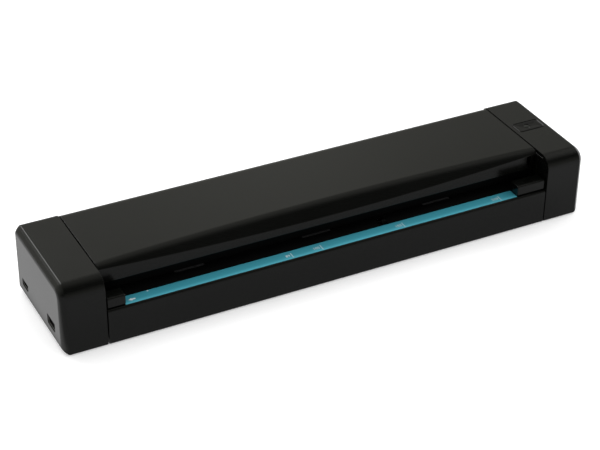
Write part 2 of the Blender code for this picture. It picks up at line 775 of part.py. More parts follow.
def trough(outer, inner, front_top, back_top):
    """A U-shaped cross-section between two insets of the body's profile."""
    def corner(inset, radius, centre, start, end):
        return arc(centre, max(radius - inset, LEAST_RADIUS), start, end, 4)

    def centre_front(inset):
        r = max(BOTTOM_FRONT_RADIUS - inset, LEAST_RADIUS)
        return FRONT + inset + r, BOTTOM + inset + r

    def centre_back(inset):
        r = max(BOTTOM_BACK_RADIUS - inset, LEAST_RADIUS)
        return BACK - inset - r, BOTTOM + inset + r

    points = [(FRONT + outer, front_top)]
    points += corner(outer, BOTTOM_FRONT_RADIUS, centre_front(outer), 180, 270)
    points += corner(outer, BOTTOM_BACK_RADIUS, centre_back(outer), 270, 360)
    points += [(BACK - outer, back_top), (BACK - inner, back_top)]
    points += corner(inner, BOTTOM_BACK_RADIUS, centre_back(inner), 360, 270)
    points += corner(inner, BOTTOM_FRONT_RADIUS, centre_front(inner), 270, 180)
    points.append((FRONT + inner, front_top))
    return points


def housing_section():
    """The middle housing's wall: flange, rounded panel edge, front, floor, back and the hinge seat."""
    radius = TOP_BACK_RADIUS + SEAT_GAP
    edge = PANEL_EDGE_RADIUS
    rear_top = TOP - REAR_WALL_DROP
    start = -math.degrees(math.asin((HINGE_Z - rear_top) / radius))
    end = -math.degrees(math.acos((BACK - WALL - HINGE_Y) / radius))
    wall = trough(0, WALL, PAPER_Z - edge, rear_top)
    seat = arc((HINGE_Y, HINGE_Z), radius, start, end, 4)
    back_rim = [i for i, (y, z) in enumerate(wall) if z == rear_top and y == BACK - WALL][0]
    wall[back_rim : back_rim + 1] = seat
    rim = arc((FRONT + edge, PAPER_Z - edge), edge, 90, 180, 5)
    flange = [(FRONT + WALL, PAPER_Z - FLANGE_THICKNESS), (FLANGE_BACK, PAPER_Z - FLANGE_THICKNESS)]
    return rim[:-1] + wall[:-1] + flange + [(FLANGE_BACK, PAPER_Z)]


def make_housing():
    """The lower housing: the middle shell, its end plates, and all that it carries inside."""
    housing = slab("lower_housing", [housing_section()], "x", -SKIN_X, SKIN_X, SHELL_BLACK)
    joined = []
    for side, word in ((-1, "left"), (1, "right")):
        joined += plate_keys(word, side)
        plate = body_profile(WALL + SEAT_GAP)
        holes = [
            circle((FEED_Y, SHAFT_Z), BUSH_RADIUS + SEAT_GAP),
            circle((EXIT_Y, SHAFT_Z), BUSH_RADIUS + SEAT_GAP),
            circle((HINGE_Y, HINGE_Z), HINGE_PIN_RADIUS + RUN_GAP),
        ]
        if side < 0:
            holes.append(ribbon_window())
        start, end = side * PLATE_IN, side * PLATE_OUT
        joined.append(slab(word + "_plate", [plate] + holes, "x", start, end, cutter=True))
        joined.append(ledge(word, side))
        joined += screw_bosses(word, side)
    joined += sensor_ribs() + gear_posts()
    join(housing, *joined)
    cut(housing, *housing_cuts())


def key_spans():
    """Where the keys between shell and end plate lie: their outer inset, and their span in Y and Z.

    The floor key spans Y and its inset is taken from the bottom; the two wall keys span Z.
    """
    low = BOTTOM + BOTTOM_BACK_RADIUS + KEY_THICKNESS
    high = PAPER_Z - FLANGE_THICKNESS - SEAT_GAP
    return {
        "floor": (BOTTOM, FRONT + KEY_END, BACK - KEY_END),
        "front": (FRONT, low, high),
        "rear": (BACK, low, high),
    }


def plate_keys(word, side):
    """Three keys at one end: each grows from the shell's wall and reaches over to the end plate."""
    blocks = []
    for key, (face, start, end) in key_spans().items():
        inward = -1 if key == "rear" else 1
        for step, near, far, inset, deep in (
            ("root", SKIN_X - KEY_DEPTH, SKIN_X - LAP, WALL - LAP, WALL + KEY_THICKNESS),
            (
                "reach",
                SKIN_X - 3 * LAP,
                PLATE_OUT - LAP,
                WALL + SEAT_GAP + LAP / 2,
                WALL + KEY_THICKNESS - LAP / 2,
            ),
        ):
            shy = 0 if step == "root" else LAP
            x = sorted((side * near, side * far))
            across = sorted((face + inward * inset, face + inward * deep))
            along = (start + shy, end - shy)
            y, z = (along, across) if key == "floor" else (across, along)
            name = f"{word}_{key}_{step}"
            blocks.append(block(name, (x[0], y[0], z[0]), (x[1], y[1], z[1]), cutter=True))
    return blocks


def ledge(word, side):
    """The shelf at one end that the paper bed lies on."""
    outer = side * (SKIN_X - LEDGE_END)
    inner = side * (SKIN_X - LEDGE_WIDTH)
    top = BED_Z - SEAT_GAP
    low = (min(inner, outer), FRONT + WALL - LAP, top - LEDGE_THICKNESS)
    high = (max(inner, outer), BACK - WALL + LAP, top)
    return block(word + "_ledge", low, high, cutter=True)


def screw_bosses(word, side):
    """Two bosses on an end plate that the cap's screws bite into, each with its bore."""
    bosses = []
    for i, (_, y) in enumerate(screw_places(side)):
        near, far = side * (PLATE_OUT - LAP), side * (PLATE_OUT + BOSS_LENGTH + SCREW_SHANK_RADIUS)
        base = FLOOR + SEAT_GAP + LAP / 2
        low = (min(near, far), y - BOSS_WIDTH / 2, base)
        high = (max(near, far), y + BOSS_WIDTH / 2, base + BOSS_HEIGHT)
        bosses.append(block(f"{word}_boss_{i}", low, high, cutter=True))
    return bosses


def sensor_ribs():
    """The ribs on the floor that carry the lower sensor."""
    top = PAPER_Z - GLASS_THICKNESS - SEAT_GAP - SENSOR_HEIGHT - SEAT_GAP
    ribs = []
    for i, share in enumerate(RIB_SHARES):
        x = PAPER_X + share * PAPER_WIDTH
        low = (x - SENSOR_RIB_THICKNESS / 2, LOWER_SENSOR_Y - SENSOR_RIB_DEPTH / 2, FLOOR - LAP)
        high = (x + SENSOR_RIB_THICKNESS / 2, LOWER_SENSOR_Y + SENSOR_RIB_DEPTH / 2, top)
        ribs.append(block(f"sensor_rib_{i}", low, high, cutter=True))
    return ribs


def gear_post_places():
    """The three posts that hold the gear plate clear of the gears."""
    near, far = (FEED_Y + IDLER_Y) / 2, (IDLER_Y + EXIT_Y) / 2
    return [
        (near, SHAFT_Z + POST_OFFSET),
        (far, SHAFT_Z - POST_DROP),
        (EXIT_Y + POST_BACK, SHAFT_Z + POST_BACK_RISE),
    ]


def gear_posts():
    """The posts themselves, standing on the right end plate."""
    start, end = PLATE_OUT - LAP, GEAR_PLATE_X - SEAT_GAP
    return [
        rod(f"gear_post_{i}", "x", POST_RADIUS, start, end, place, cutter=True)
        for i, place in enumerate(gear_post_places())
    ]


def foot_places():
    """The four feet in X and Y."""
    x, y = SEAM_X - FOOT_INSET_X, BACK - FOOT_INSET_Y
    return [(sx * x, sy * y) for sx in (-1, 1) for sy in (-1, 1)]


def housing_cuts():
    """The strip's seat, the slot at the back, the foot seats and the screw bores."""
    cutters = []
    seat_front = FRONT + STRIP_FRONT - SEAT_GAP
    strip_low = (PAPER_LEFT - SEAT_GAP, seat_front, PAPER_Z - STRIP_THICKNESS - SEAT_GAP)
    strip_high = (PAPER_RIGHT + SEAT_GAP, FLANGE_BACK + OVERRUN, PAPER_Z + OVERRUN)
    cutters.append(block("strip_seat", strip_low, strip_high, cutter=True))
    slot_low = (PAPER_LEFT - SLOT_END_GAP, BACK - WALL - OVERRUN, PAPER_Z - EXIT_SLOT_DROP)
    slot_high = (
        PAPER_RIGHT + SLOT_END_GAP,
        BACK + OVERRUN,
        PAPER_Z - EXIT_SLOT_DROP + EXIT_SLOT_HEIGHT,
    )
    cutters.append(block("exit_slot", slot_low, slot_high, cutter=True))
    for i, place in enumerate(foot_places()):
        top = BOTTOM + FOOT_SEAT
        radius = FOOT_RADIUS + SEAT_GAP
        cutters.append(rod(f"foot_seat_{i}", "z", radius, BOTTOM - OVERRUN, top, place, cutter=True))
    for side in (-1, 1):
        for i, (x, y) in enumerate(screw_places(side)):
            start, end = BOTTOM, BOTTOM + SCREW_SINK + SCREW_LENGTH + SEAT_GAP
            radius = SCREW_SHANK_RADIUS + RUN_GAP
            cutters.append(rod(f"screw_bore_{side}_{i}", "z", radius, start, end, (x, y), cutter=True))
    return cutters


def crease_height(x):
    """The height of the lip's upper edge at a place along the cover: a shallow arc, lowest in the middle."""
    return TOP - CREASE_DROP - CREASE_SAG * (1 - (x / SKIN_X) ** 2)


def eased_corner(before, corner, after, touch, steps):
    """Rounds a corner between two sides by a quadratic curve that touches each at the same distance."""
    points = []
    for i in range(steps + 1):
        t = i / steps
        point = []
        for a, b, c in zip(before, corner, after):
            first = b + (a - b) * touch / math.dist(before, corner)
            last = b + (c - b) * touch / math.dist(after, corner)
            point.append((1 - t) ** 2 * first + 2 * t * (1 - t) * b + t**2 * last)
        points.append(tuple(point))
    return points


def cover_section(x):
    """The cover's wall at one place: hook round the hinge, roof, roll-over edge, lip and back inside.

    The roll-over slopes down at ROLL_ANGLE to the lip's upper edge, so the lower that edge is, the
    further back the roof bends, and the bend is a parabola.
    """
    hinge = (HINGE_Y, HINGE_Z)
    edge = (LIP_Y, crease_height(x))
    bend = (LIP_Y + (TOP - edge[1]) / math.tan(math.radians(ROLL_ANGLE)), TOP)
    touch = min(ROLL_TOUCH, max(math.dist(bend, edge) - LIP_TOP_TOUCH - LEAST_RADIUS, LEAST_RADIUS))
    outer = arc(hinge, TOP_BACK_RADIUS, HOOK_END_ANGLE, 90, 12)
    outer += eased_corner((HINGE_Y, TOP), bend, edge, touch, 6)
    outer += eased_corner(bend, edge, (LIP_Y, LIP_Z), LIP_TOP_TOUCH, 2)
    outer += [(LIP_Y, LIP_Z + LIP_EDGE), (LIP_Y + LIP_EDGE, LIP_Z)]
    lip_back = LIP_Y + WALL
    inner = [(lip_back, LIP_Z), (lip_back, edge[1] - WALL / 2), (INNER_Y, CEILING)]
    inner += arc(hinge, TOP_BACK_RADIUS - WALL, 90, HOOK_END_ANGLE, 10)
    return outer + inner


def cheek_outline():
    """The cover's end wall inside its shell, down to just above the paper path."""
    step_y = LIP_Y + CHEEK_FRONT
    low = PAPER_Z + CHEEK_RISE
    hub = TOP_BACK_RADIUS - LAP
    points = arc((HINGE_Y, HINGE_Z), hub, -70, 80, 8)
    points += [
        (INNER_Y, CEILING + LAP),
        (LIP_Y + WALL - LAP, crease_height(SKIN_X) - WALL / 2 + LAP),
        (LIP_Y + WALL - LAP, LIP_Z + LIP_EDGE),
        (step_y, LIP_Z + LIP_EDGE),
        (step_y, low),
        (HINGE_Y, low),
    ]
    return points


def make_cover():
    """The hinged cover: shell, end walls with the pinch bearings, and ribs over the upper sensor."""
    rings = []
    for i in range(COVER_STATIONS):
        x = -SKIN_X + 2 * SKIN_X * i / (COVER_STATIONS - 1)
        rings.append([(x, y, z) for y, z in cover_section(x)])
    cover = loft("top_cover", rings, SHELL_BLACK)
    joined = []
    for side, word in ((-1, "left"), (1, "right")):
        holes = [
            circle((HINGE_Y, HINGE_Z), HINGE_PIN_RADIUS + RUN_GAP),
            circle((FEED_Y, PINCH_Z), PINCH_AXLE_RADIUS + RUN_GAP),
            circle((EXIT_Y, PINCH_Z), PINCH_AXLE_RADIUS + RUN_GAP),
        ]
        start, end = side * (SKIN_X - CHEEK_THICKNESS), side * (SKIN_X - LAP / 4)
        joined.append(slab(word + "_cheek", [cheek_outline()] + holes, "x", start, end, cutter=True))
    low = GUIDE_Z + GLASS_THICKNESS + SEAT_GAP + SENSOR_HEIGHT + SEAT_GAP
    for i, share in enumerate(RIB_SHARES):
        x = PAPER_X + share * PAPER_WIDTH
        half = COVER_RIB_THICKNESS / 2
        corner_low = (x - half, UPPER_SENSOR_Y - SENSOR_WIDTH / 2, low)
        corner_high = (x + half, UPPER_SENSOR_Y + SENSOR_WIDTH / 2, CEILING + LAP)
        joined.append(block(f"cover_rib_{i}", corner_low, corner_high, cutter=True))
    join(cover, *joined)
    notch_low = (SKIN_X - NOTCH_WIDTH, LIP_Y - OVERRUN, LIP_Z - OVERRUN)
    notch_high = (SKIN_X + OVERRUN, LIP_Y + WALL + SEAT_GAP, TOP - NOTCH_ROOF)
    cut(cover, block("cover_notch", notch_low, notch_high, cutter=True))


def make_strip_and_guides():
    """The blue strip on the flange and the two blocks that guide the sheet's edges."""
    front = FRONT + STRIP_FRONT
    block(
        "feed_strip",
        (PAPER_LEFT, front, PAPER_Z - STRIP_THICKNESS),
        (PAPER_RIGHT, front + STRIP_WIDTH, PAPER_Z),
        STRIP_BLUE,
    )
    low_y, high_y = FRONT + GUIDE_FRONT, FRONT + GUIDE_FRONT + GUIDE_DEPTH
    low_z = PAPER_Z + SEAT_GAP
    for name, start, end in (
        ("left_edge_guide", -SKIN_X + SEAT_GAP, PAPER_LEFT),
        ("right_edge_guide", PAPER_RIGHT, SKIN_X - SEAT_GAP),
    ):
        block(name, (start, low_y, low_z), (end, high_y, low_z + GUIDE_HEIGHT), SHELL_BLACK, False, GUIDE_EDGE)


def roller_slots(prefix, centre_y, radius, width, level, thickness):
    """The openings in a guide plate that its rollers reach through."""
    depth = level + thickness
    half = math.sqrt(max(radius**2 - (radius - depth) ** 2, 0)) + SLOT_CLEARANCE
    slots = []
    for i, x in enumerate(ROLLER_X):
        side = width / 2 + SLOT_CLEARANCE
        slots.append((f"{prefix}_{i}", (x - side, centre_y - half), (x + side, centre_y + half)))
    return slots


def make_bed():
    """The lower guide plate: slots for rollers, glass and flag, and the ears of the flag's pin."""
    low = (-SKIN_X + SEAT_GAP, FLANGE_BACK + SEAT_GAP, BED_Z)
    high = (SKIN_X - SEAT_GAP, BACK - WALL - SEAT_GAP, PAPER_Z)
    bed = block("lower_guide_plate", low, high, INNER_BLACK)
    ears = []
    for i, side in enumerate((-1, 1)):
        centre = FLAG_X + side * (FLAG_PIN_LENGTH / 2 - EAR_THICKNESS / 2)
        half = EAR_THICKNESS / 2
        ear = rectangle((FLAG_Y - EAR_HALF, FLAG_Z - EAR_HALF), (FLAG_Y + EAR_HALF, BED_Z + LAP))
        hole = circle((FLAG_Y, FLAG_Z), FLAG_PIN_RADIUS + RUN_GAP, 12)
        ears.append(slab(f"flag_ear_{i}", [ear, hole], "x", centre - half, centre + half, cutter=True))
    join(bed, *ears)
    slots = roller_slots("feed_slot", FEED_Y, ROLLER_RADIUS, ROLLER_WIDTH, ROLLER_PROUD, BED_THICKNESS)
    slots += roller_slots("exit_slot", EXIT_Y, ROLLER_RADIUS, ROLLER_WIDTH, ROLLER_PROUD, BED_THICKNESS)
    half_x = PAPER_WIDTH / 2 - SENSOR_MARGIN + SEAT_GAP
    half_y = SENSOR_WIDTH / 2 + SEAT_GAP
    slots.append(
        ("glass_slot", (PAPER_X - half_x, LOWER_SENSOR_Y - half_y), (PAPER_X + half_x, LOWER_SENSOR_Y + half_y))
    )
    side = FLAG_WIDTH / 2 + SLOT_CLEARANCE
    slots.append(("flag_slot", (FLAG_X - side, FLANGE_BACK - OVERRUN), (FLAG_X + side, FLAG_Y + FLAG_SWING)))
    for name, (x0, y0), (x1, y1) in slots:
        cut(bed, block("bed_" + name, (x0, y0, BED_Z - OVERRUN), (x1, y1, PAPER_Z + OVERRUN), cutter=True))


def make_upper_guide():
    """The upper guide plate: a ramp from the lip, a flat over the sensors and a rise to the exit."""
    front = LIP_Y + WALL + SEAT_GAP
    throat = FRONT + THROAT_DEPTH
    flat_end = BACK - UPPER_FLAT_END
    rear = flat_end + UPPER_REAR_RUN
    top = LIP_Z + LIP_EDGE + SEAT_GAP
    up = UPPER_THICKNESS
    lower = [(front, top), (throat, GUIDE_Z), (flat_end, GUIDE_Z), (rear, GUIDE_Z + UPPER_REAR_RISE)]
    upper = [
        (rear, GUIDE_Z + UPPER_REAR_RISE + up),
        (flat_end - up / 2, GUIDE_Z + up),
        (throat + up / 2, GUIDE_Z + up),
        (front + up, top),
    ]
    reach = SKIN_X - CHEEK_THICKNESS - SEAT_GAP
    guide = slab("upper_guide_plate", [lower + upper], "x", -reach, reach, INNER_BLACK)
    level = UPPER_GAP - ROLLER_PROUD - NIP_GAP
    slots = roller_slots("front_pinch_slot", FEED_Y, PINCH_RADIUS, PINCH_WIDTH, level, up)
    slots += roller_slots("rear_pinch_slot", EXIT_Y, PINCH_RADIUS, PINCH_WIDTH, level, up)
    half_x = PAPER_WIDTH / 2 - SENSOR_MARGIN + SEAT_GAP
    half_y = SENSOR_WIDTH / 2 + SEAT_GAP
    slots.append(
        ("upper_glass_slot", (PAPER_X - half_x, UPPER_SENSOR_Y - half_y), (PAPER_X + half_x, UPPER_SENSOR_Y + half_y))
    )
    for name, (x0, y0), (x1, y1) in slots:
        cut(guide, block(name, (x0, y0, GUIDE_Z - OVERRUN), (x1, y1, GUIDE_Z + up + OVERRUN), cutter=True))


def make_sensors():
    """The two contact image sensors, each a bar with a glass on the paper's side."""
    half_x = PAPER_WIDTH / 2 - SENSOR_MARGIN
    half_y = SENSOR_WIDTH / 2
    glass_y = half_y - GLASS_MARGIN / 2
    bar_top = PAPER_Z - GLASS_THICKNESS - SEAT_GAP
    upper_base = GUIDE_Z + GLASS_THICKNESS + SEAT_GAP
    for name, centre, glass_z, bar_z in (
        ("lower_sensor", LOWER_SENSOR_Y, PAPER_Z - GLASS_THICKNESS, bar_top - SENSOR_HEIGHT),
        ("upper_sensor", UPPER_SENSOR_Y, GUIDE_Z, upper_base),
    ):
        block(
            name + "_bar",
            (PAPER_X - half_x, centre - half_y, bar_z),
            (PAPER_X + half_x, centre + half_y, bar_z + SENSOR_HEIGHT),
            INNER_BLACK,
        )
        block(
            name + "_glass",
            (PAPER_X - half_x + GLASS_MARGIN, centre - glass_y, glass_z),
            (PAPER_X + half_x - GLASS_MARGIN, centre + glass_y, glass_z + GLASS_THICKNESS),
            GLASS,
        )


def gear_outline(teeth, centre, phase_share):
    """A gear's outline: straight-flanked teeth, turned by a share of one tooth's pitch."""
    pitch = 2 * math.pi / teeth
    radius = GEAR_MODULE * teeth / 2
    outer = radius + ADDENDUM_SHARE * GEAR_MODULE
    inner = radius - DEDENDUM_SHARE * GEAR_MODULE
    flank = TOOTH_SHARE / 2
    root = flank + (flank - TOOTH_TIP_SHARE / 2)
    points = []
    for i in range(teeth):
        middle = (i + phase_share) * pitch
        for share, r in (
            (-root, inner),
            (-flank, radius),
            (-TOOTH_TIP_SHARE / 2, outer),
            (TOOTH_TIP_SHARE / 2, outer),
            (flank, radius),
            (root, inner),
        ):
            angle = middle + share * pitch
            points.append((centre[0] + r * math.cos(angle), centre[1] + r * math.sin(angle)))
    return points


def gear(name, teeth, centre, phase_share, bore):
    """One flat gear in the plane outside the right end plate."""
    outlines = [gear_outline(teeth, centre, phase_share), circle(centre, bore)]
    return slab(name, outlines, "x", GEAR_X, GEAR_X + GEAR_WIDTH, ACETAL_WHITE, centre)


def make_shaft(word, y, phase_share):
    """A driven shaft with its rubber rollers, gear and two bushes."""
    centre = (y, SHAFT_Z)
    start = -PLATE_OUT - SHAFT_TAIL
    rod(word + "_shaft", "x", SHAFT_RADIUS, start, GEAR_X + GEAR_WIDTH, centre, STEEL)
    bore = SHAFT_RADIUS + SEAT_GAP
    for i, x in enumerate(ROLLER_X):
        rings = [circle(centre, ROLLER_RADIUS), circle(centre, bore)]
        half = ROLLER_WIDTH / 2
        slab(f"{word}_roller_{i + 1}", rings, "x", x - half, x + half, RUBBER_GREY, centre)
    gear(word + "_gear", ROLLER_TEETH, centre, phase_share, bore)
    for side, side_word in ((-1, "left"), (1, "right")):
        inner = PLATE_IN - SEAT_GAP - BUSH_FLANGE
        outer = PLATE_OUT
        hole = SHAFT_RADIUS + RUN_GAP
        profile = [
            (BUSH_RADIUS, outer),
            (BUSH_RADIUS, inner + BUSH_FLANGE),
            (BUSH_FLANGE_RADIUS, inner + BUSH_FLANGE),
            (BUSH_FLANGE_RADIUS, inner),
            (hole, inner),
            (hole, outer),
        ]
        bush = turned(f"{word}_bush_{side_word}", profile, "x", (0, y, SHAFT_Z), BRONZE)
        if side < 0:
            bush.rotation_euler = (0, -math.pi / 2, 0)


def make_pinch(word, y):
    """A pinch roller: one moulded piece with an axle and a drum over each driven roller."""
    reach = SKIN_X - SEAT_GAP
    profile = [(0, reach), (PINCH_AXLE_RADIUS, reach)]
    for x in sorted(ROLLER_X, reverse=True):
        for radius, place in (
            (PINCH_AXLE_RADIUS, x + PINCH_WIDTH / 2),
            (PINCH_RADIUS, x + PINCH_WIDTH / 2),
            (PINCH_RADIUS, x - PINCH_WIDTH / 2),
            (PINCH_AXLE_RADIUS, x - PINCH_WIDTH / 2),
        ):
            profile.append((radius, place))
    profile += [(PINCH_AXLE_RADIUS, -reach), (0, -reach)]
    turned(word + "_pinch_roller", profile, "x", (0, y, PINCH_Z), ACETAL_WHITE)
    belly = PINCH_Z + PINCH_AXLE_RADIUS + SEAT_GAP
    roof = CEILING - SEAT_GAP
    t = SPRING_THICKNESS
    x0 = (ROLLER_X[0] + ROLLER_X[1]) / 2
    half = SPRING_BELLY / 2
    lower = [
        (-half - SPRING_RUN - SPRING_FOOT, roof - t),
        (-half - SPRING_RUN, roof - t),
        (-half, belly),
        (half, belly),
        (half + SPRING_RUN, roof - t),
        (half + SPRING_RUN + SPRING_FOOT, roof - t),
    ]
    upper = [
        (half + SPRING_RUN + SPRING_FOOT, roof),
        (half + SPRING_RUN - t, roof),
        (half - t, belly + t),
        (-half + t, belly + t),
        (-half - SPRING_RUN + t, roof),
        (-half - SPRING_RUN - SPRING_FOOT, roof),
    ]
    points = [(x0 + x, z) for x, z in lower + upper]
    slab(word + "_pinch_spring", [points], "y", y - SPRING_WIDTH / 2, y + SPRING_WIDTH / 2, STEEL)


def make_gear_train():
    """The idler, the motor and its pinion, and the steel plate that holds them."""
    idler = (IDLER_Y, SHAFT_Z)
    pinion = (EXIT_Y, PINION_Z)
    gear("idler_gear", IDLER_TEETH, idler, 0, STUD_RADIUS + RUN_GAP)
    wheel = gear_outline(PINION_TEETH, pinion, 0)
    motor_face = GEAR_PLATE_X + GEAR_PLATE_THICKNESS + SEAT_GAP
    piece = slab("motor_pinion", [wheel], "x", GEAR_X, GEAR_X + GEAR_WIDTH, ACETAL_WHITE, pinion)
    start, end = GEAR_X + GEAR_WIDTH - LAP, motor_face + MOTOR_SHAFT_REACH
    join(piece, rod("motor_shaft", "x", MOTOR_SHAFT_RADIUS, start, end, pinion, cutter=True))
    far = motor_face + MOTOR_LENGTH
    hole = MOTOR_SHAFT_RADIUS + RUN_GAP
    profile = [
        (0, far),
        (MOTOR_RADIUS - MOTOR_EDGE, far),
        (MOTOR_RADIUS, far - MOTOR_EDGE),
        (MOTOR_RADIUS, motor_face + MOTOR_EDGE),
        (MOTOR_RADIUS - MOTOR_EDGE, motor_face),
        (hole, motor_face),
        (hole, motor_face + MOTOR_BORE_DEPTH),
        (0, motor_face + MOTOR_BORE_DEPTH),
    ]
    turned("drive_motor", profile, "x", (0, *pinion), STEEL)
    low = SHAFT_Z - GEAR_PLATE_LOW
    step = SHAFT_Z + GEAR_PLATE_STEP
    high = PINION_Z + GEAR_PLATE_HIGH
    outline = [
        (IDLER_Y - GEAR_PLATE_SIDE, low),
        (EXIT_Y + POST_BACK + POST_RADIUS, low),
        (EXIT_Y + POST_BACK + POST_RADIUS, step - POST_RADIUS),
        (EXIT_Y + GEAR_PLATE_HALF, high),
        (EXIT_Y - GEAR_PLATE_HALF, high),
        (EXIT_Y - GEAR_PLATE_HALF, step),
        (IDLER_Y - GEAR_PLATE_SIDE, step),
    ]
    hole = circle(pinion, MOTOR_SHAFT_RADIUS + SLOT_CLEARANCE, 16)
    start, end = GEAR_PLATE_X, GEAR_PLATE_X + GEAR_PLATE_THICKNESS
    plate = slab("gear_plate", [outline, hole], "x", start, end, STEEL)
    stud_end = GEAR_PLATE_X + GEAR_PLATE_THICKNESS / 2
    join(plate, rod("idler_stud", "x", STUD_RADIUS, GEAR_X, stud_end, idler, cutter=True))


def make_hinge_pins():
    """The two hinge pins, pressed into the cover's ends and turning in the end plates."""
    for side, word in ((-1, "left"), (1, "right")):
        centre = (HINGE_Y, HINGE_Z)
        rings = [circle(centre, HINGE_PIN_RADIUS), circle(centre, HINGE_BORE_RADIUS, 12)]
        end = side * PLATE_OUT
        start = side * (PLATE_OUT - HINGE_PIN_LENGTH)
        slab(word + "_hinge_pin", rings, "x", start, end, STEEL, centre)


def make_flag():
    """The paper flag: an arm that stands through the bed and tips back under the sheet, on a cross pin."""
    tip = PAPER_Z + FLAG_PROUD
    half = FLAG_THICKNESS / 2
    arm = rounded((FLAG_Y - half, FLAG_Z - FLAG_TAIL), (FLAG_Y + half, tip), [half / 2] * 4, 2)
    start, end = FLAG_X - FLAG_WIDTH / 2, FLAG_X + FLAG_WIDTH / 2
    flag = slab("paper_flag", [arm], "x", start, end, INNER_BLACK, (FLAG_Y, FLAG_Z))
    reach = FLAG_PIN_LENGTH / 2
    centre = (FLAG_Y, FLAG_Z)
    pin = rod("flag_pin", "x", FLAG_PIN_RADIUS, FLAG_X - reach, FLAG_X + reach, centre, cutter=True, sides=12)
    join(flag, pin)


def make_board_and_sockets():
    """The main board in the left cap and the two sockets that stand on it."""
    low, high = board_edges()
    block("main_board", (*low, BOARD_Z), (*high, BOARD_TOP), BOARD_GREEN)
    mouth = -END_X + SOCKET_SETBACK
    for name, (_, width, height, length) in SOCKETS.items():
        centre = socket_centre(name)
        outline = chamfered(centre, width, height, SOCKET_CHAMFER)
        shell = slab(name, [outline], "x", mouth, mouth + length, STEEL)
        inner = chamfered(
            centre, width - 2 * SOCKET_WALL, height - 2 * SOCKET_WALL, SOCKET_CHAMFER - SOCKET_WALL / 2
        )
        floor = mouth + length - SOCKET_FLOOR
        cut(shell, slab(name + "_hollow", [inner], "x", mouth - OVERRUN, floor, cutter=True))
        half = width * TONGUE_SHARE / 2
        tongue_low = (mouth + TONGUE_SETBACK, centre[0] - half, centre[1] - TONGUE_THICKNESS / 2)
        tongue_high = (floor + LAP, centre[0] + half, centre[1] + TONGUE_THICKNESS / 2)
        join(shell, block(name + "_tongue", tongue_low, tongue_high, cutter=True))


def ribbon_level():
    """The height at which the lower sensor's ribbon leaves the bar."""
    return PAPER_Z - GLASS_THICKNESS - SEAT_GAP - SENSOR_HEIGHT * 3 / 4


def ribbon_window():
    """The opening in the left end plate that the ribbon passes through."""
    half = RIBBON_WIDTH / 2 + RIBBON_WINDOW_MARGIN
    low = BOARD_TOP
    high = ribbon_level() + RIBBON_WINDOW_MARGIN
    return rectangle((LOWER_SENSOR_Y - half, low), (LOWER_SENSOR_Y + half, high))


def make_leads():
    """The lower sensor's ribbon, and the upper sensor's lead through the left hinge pin to the board."""
    start = PAPER_X - PAPER_WIDTH / 2 + SENSOR_MARGIN - SEAT_GAP
    level = ribbon_level()
    landing = BOARD_TOP + SEAT_GAP
    edge = -PLATE_OUT - BOARD_SIDE_GAP
    t = RIBBON_THICKNESS
    middle = [(start - RIBBON_RUN, level), (edge, landing), (edge - RIBBON_LANDING, landing)]
    top = [(start, level + t), (start - RIBBON_RUN - t / 2, level + t)]
    top += [(edge, landing + t), (edge - RIBBON_LANDING, landing + t)]
    points = [(start, level)] + middle + top[::-1]
    half = RIBBON_WIDTH / 2
    slab("sensor_ribbon", [points], "y", LOWER_SENSOR_Y - half, LOWER_SENSOR_Y + half, LEAD_GREY)

    upper_z = GUIDE_Z + GLASS_THICKNESS + SEAT_GAP + SENSOR_HEIGHT / 2
    pin_inner = -(PLATE_OUT - HINGE_PIN_LENGTH)
    turn_x = pin_inner + LEAD_BEND + SEAT_GAP
    meet = -PLATE_OUT + LEAD_MEETING
    cover_route = smooth_path(
        [
            (start, UPPER_SENSOR_Y, upper_z),
            (turn_x, UPPER_SENSOR_Y, upper_z),
            (turn_x, HINGE_Y, HINGE_Z),
            (meet, HINGE_Y, HINGE_Z),
        ],
        LEAD_BEND,
    )
    tube("cover_lead", cover_route, LEAD_GREY)
    down_x = -PLATE_OUT - 2 * LEAD_BEND
    board_route = smooth_path(
        [
            (meet - SEAT_GAP, HINGE_Y, HINGE_Z),
            (down_x, HINGE_Y, HINGE_Z),
            (down_x, BACK - DATA_MARGIN - DATA_WIDTH, BOARD_TOP + LEAD_BEND * 3),
            (down_x, BACK - DATA_MARGIN - DATA_WIDTH, BOARD_TOP + SEAT_GAP),
        ],
        LEAD_BEND,
    )
    tube("board_lead", board_route, LEAD_GREY)


def make_feet_and_screws():
    """The four rubber feet and the four countersunk case screws."""
    for i, (x, y) in enumerate(foot_places()):
        rod(f"foot_{i + 1}", "z", FOOT_RADIUS, 0, BOTTOM + FOOT_SEAT - SEAT_GAP, (x, y), RUBBER_GREY)
    places = screw_places(-1) + screw_places(1)
    for i, (x, y) in enumerate(places):
        profile = screw_profile(0) + [
            (SCREW_HEAD_RADIUS, 0),
            (SCREW_SOCKET_RADIUS, 0),
            (SCREW_SOCKET_RADIUS, SCREW_SOCKET_DEPTH),
            (0, SCREW_SOCKET_DEPTH),
        ]
        turned(f"case_screw_{i + 1}", profile, "z", (x, y, BOTTOM + SCREW_SINK), STEEL, sides=16)


make_left_cap()
make_right_cap()
make_housing()
make_cover()
make_strip_and_guides()
make_bed()
make_upper_guide()
make_sensors()
make_shaft("feed", FEED_Y, 0)
make_shaft("exit", EXIT_Y, 1 / 2)
make_pinch("front", FEED_Y)
make_pinch("rear", EXIT_Y)
make_gear_train()
make_hinge_pins()
make_flag()
make_board_and_sockets()
make_button()
make_leads()
make_feet_and_screws()
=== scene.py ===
# %% [markdown]
# # A portable sheet-fed scanner
# The scanner is a slim bar of satin black plastic. Two end caps hold a hinged cover, and a blue strip
# under the cover's lip shows where the sheet goes in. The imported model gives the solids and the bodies
# that move. Here each visible surface gets a finer shape and a finish of its own.

# %% Load the frame
import math

import bmesh
import bpy
import numpy as np
from mathutils import Matrix, Vector


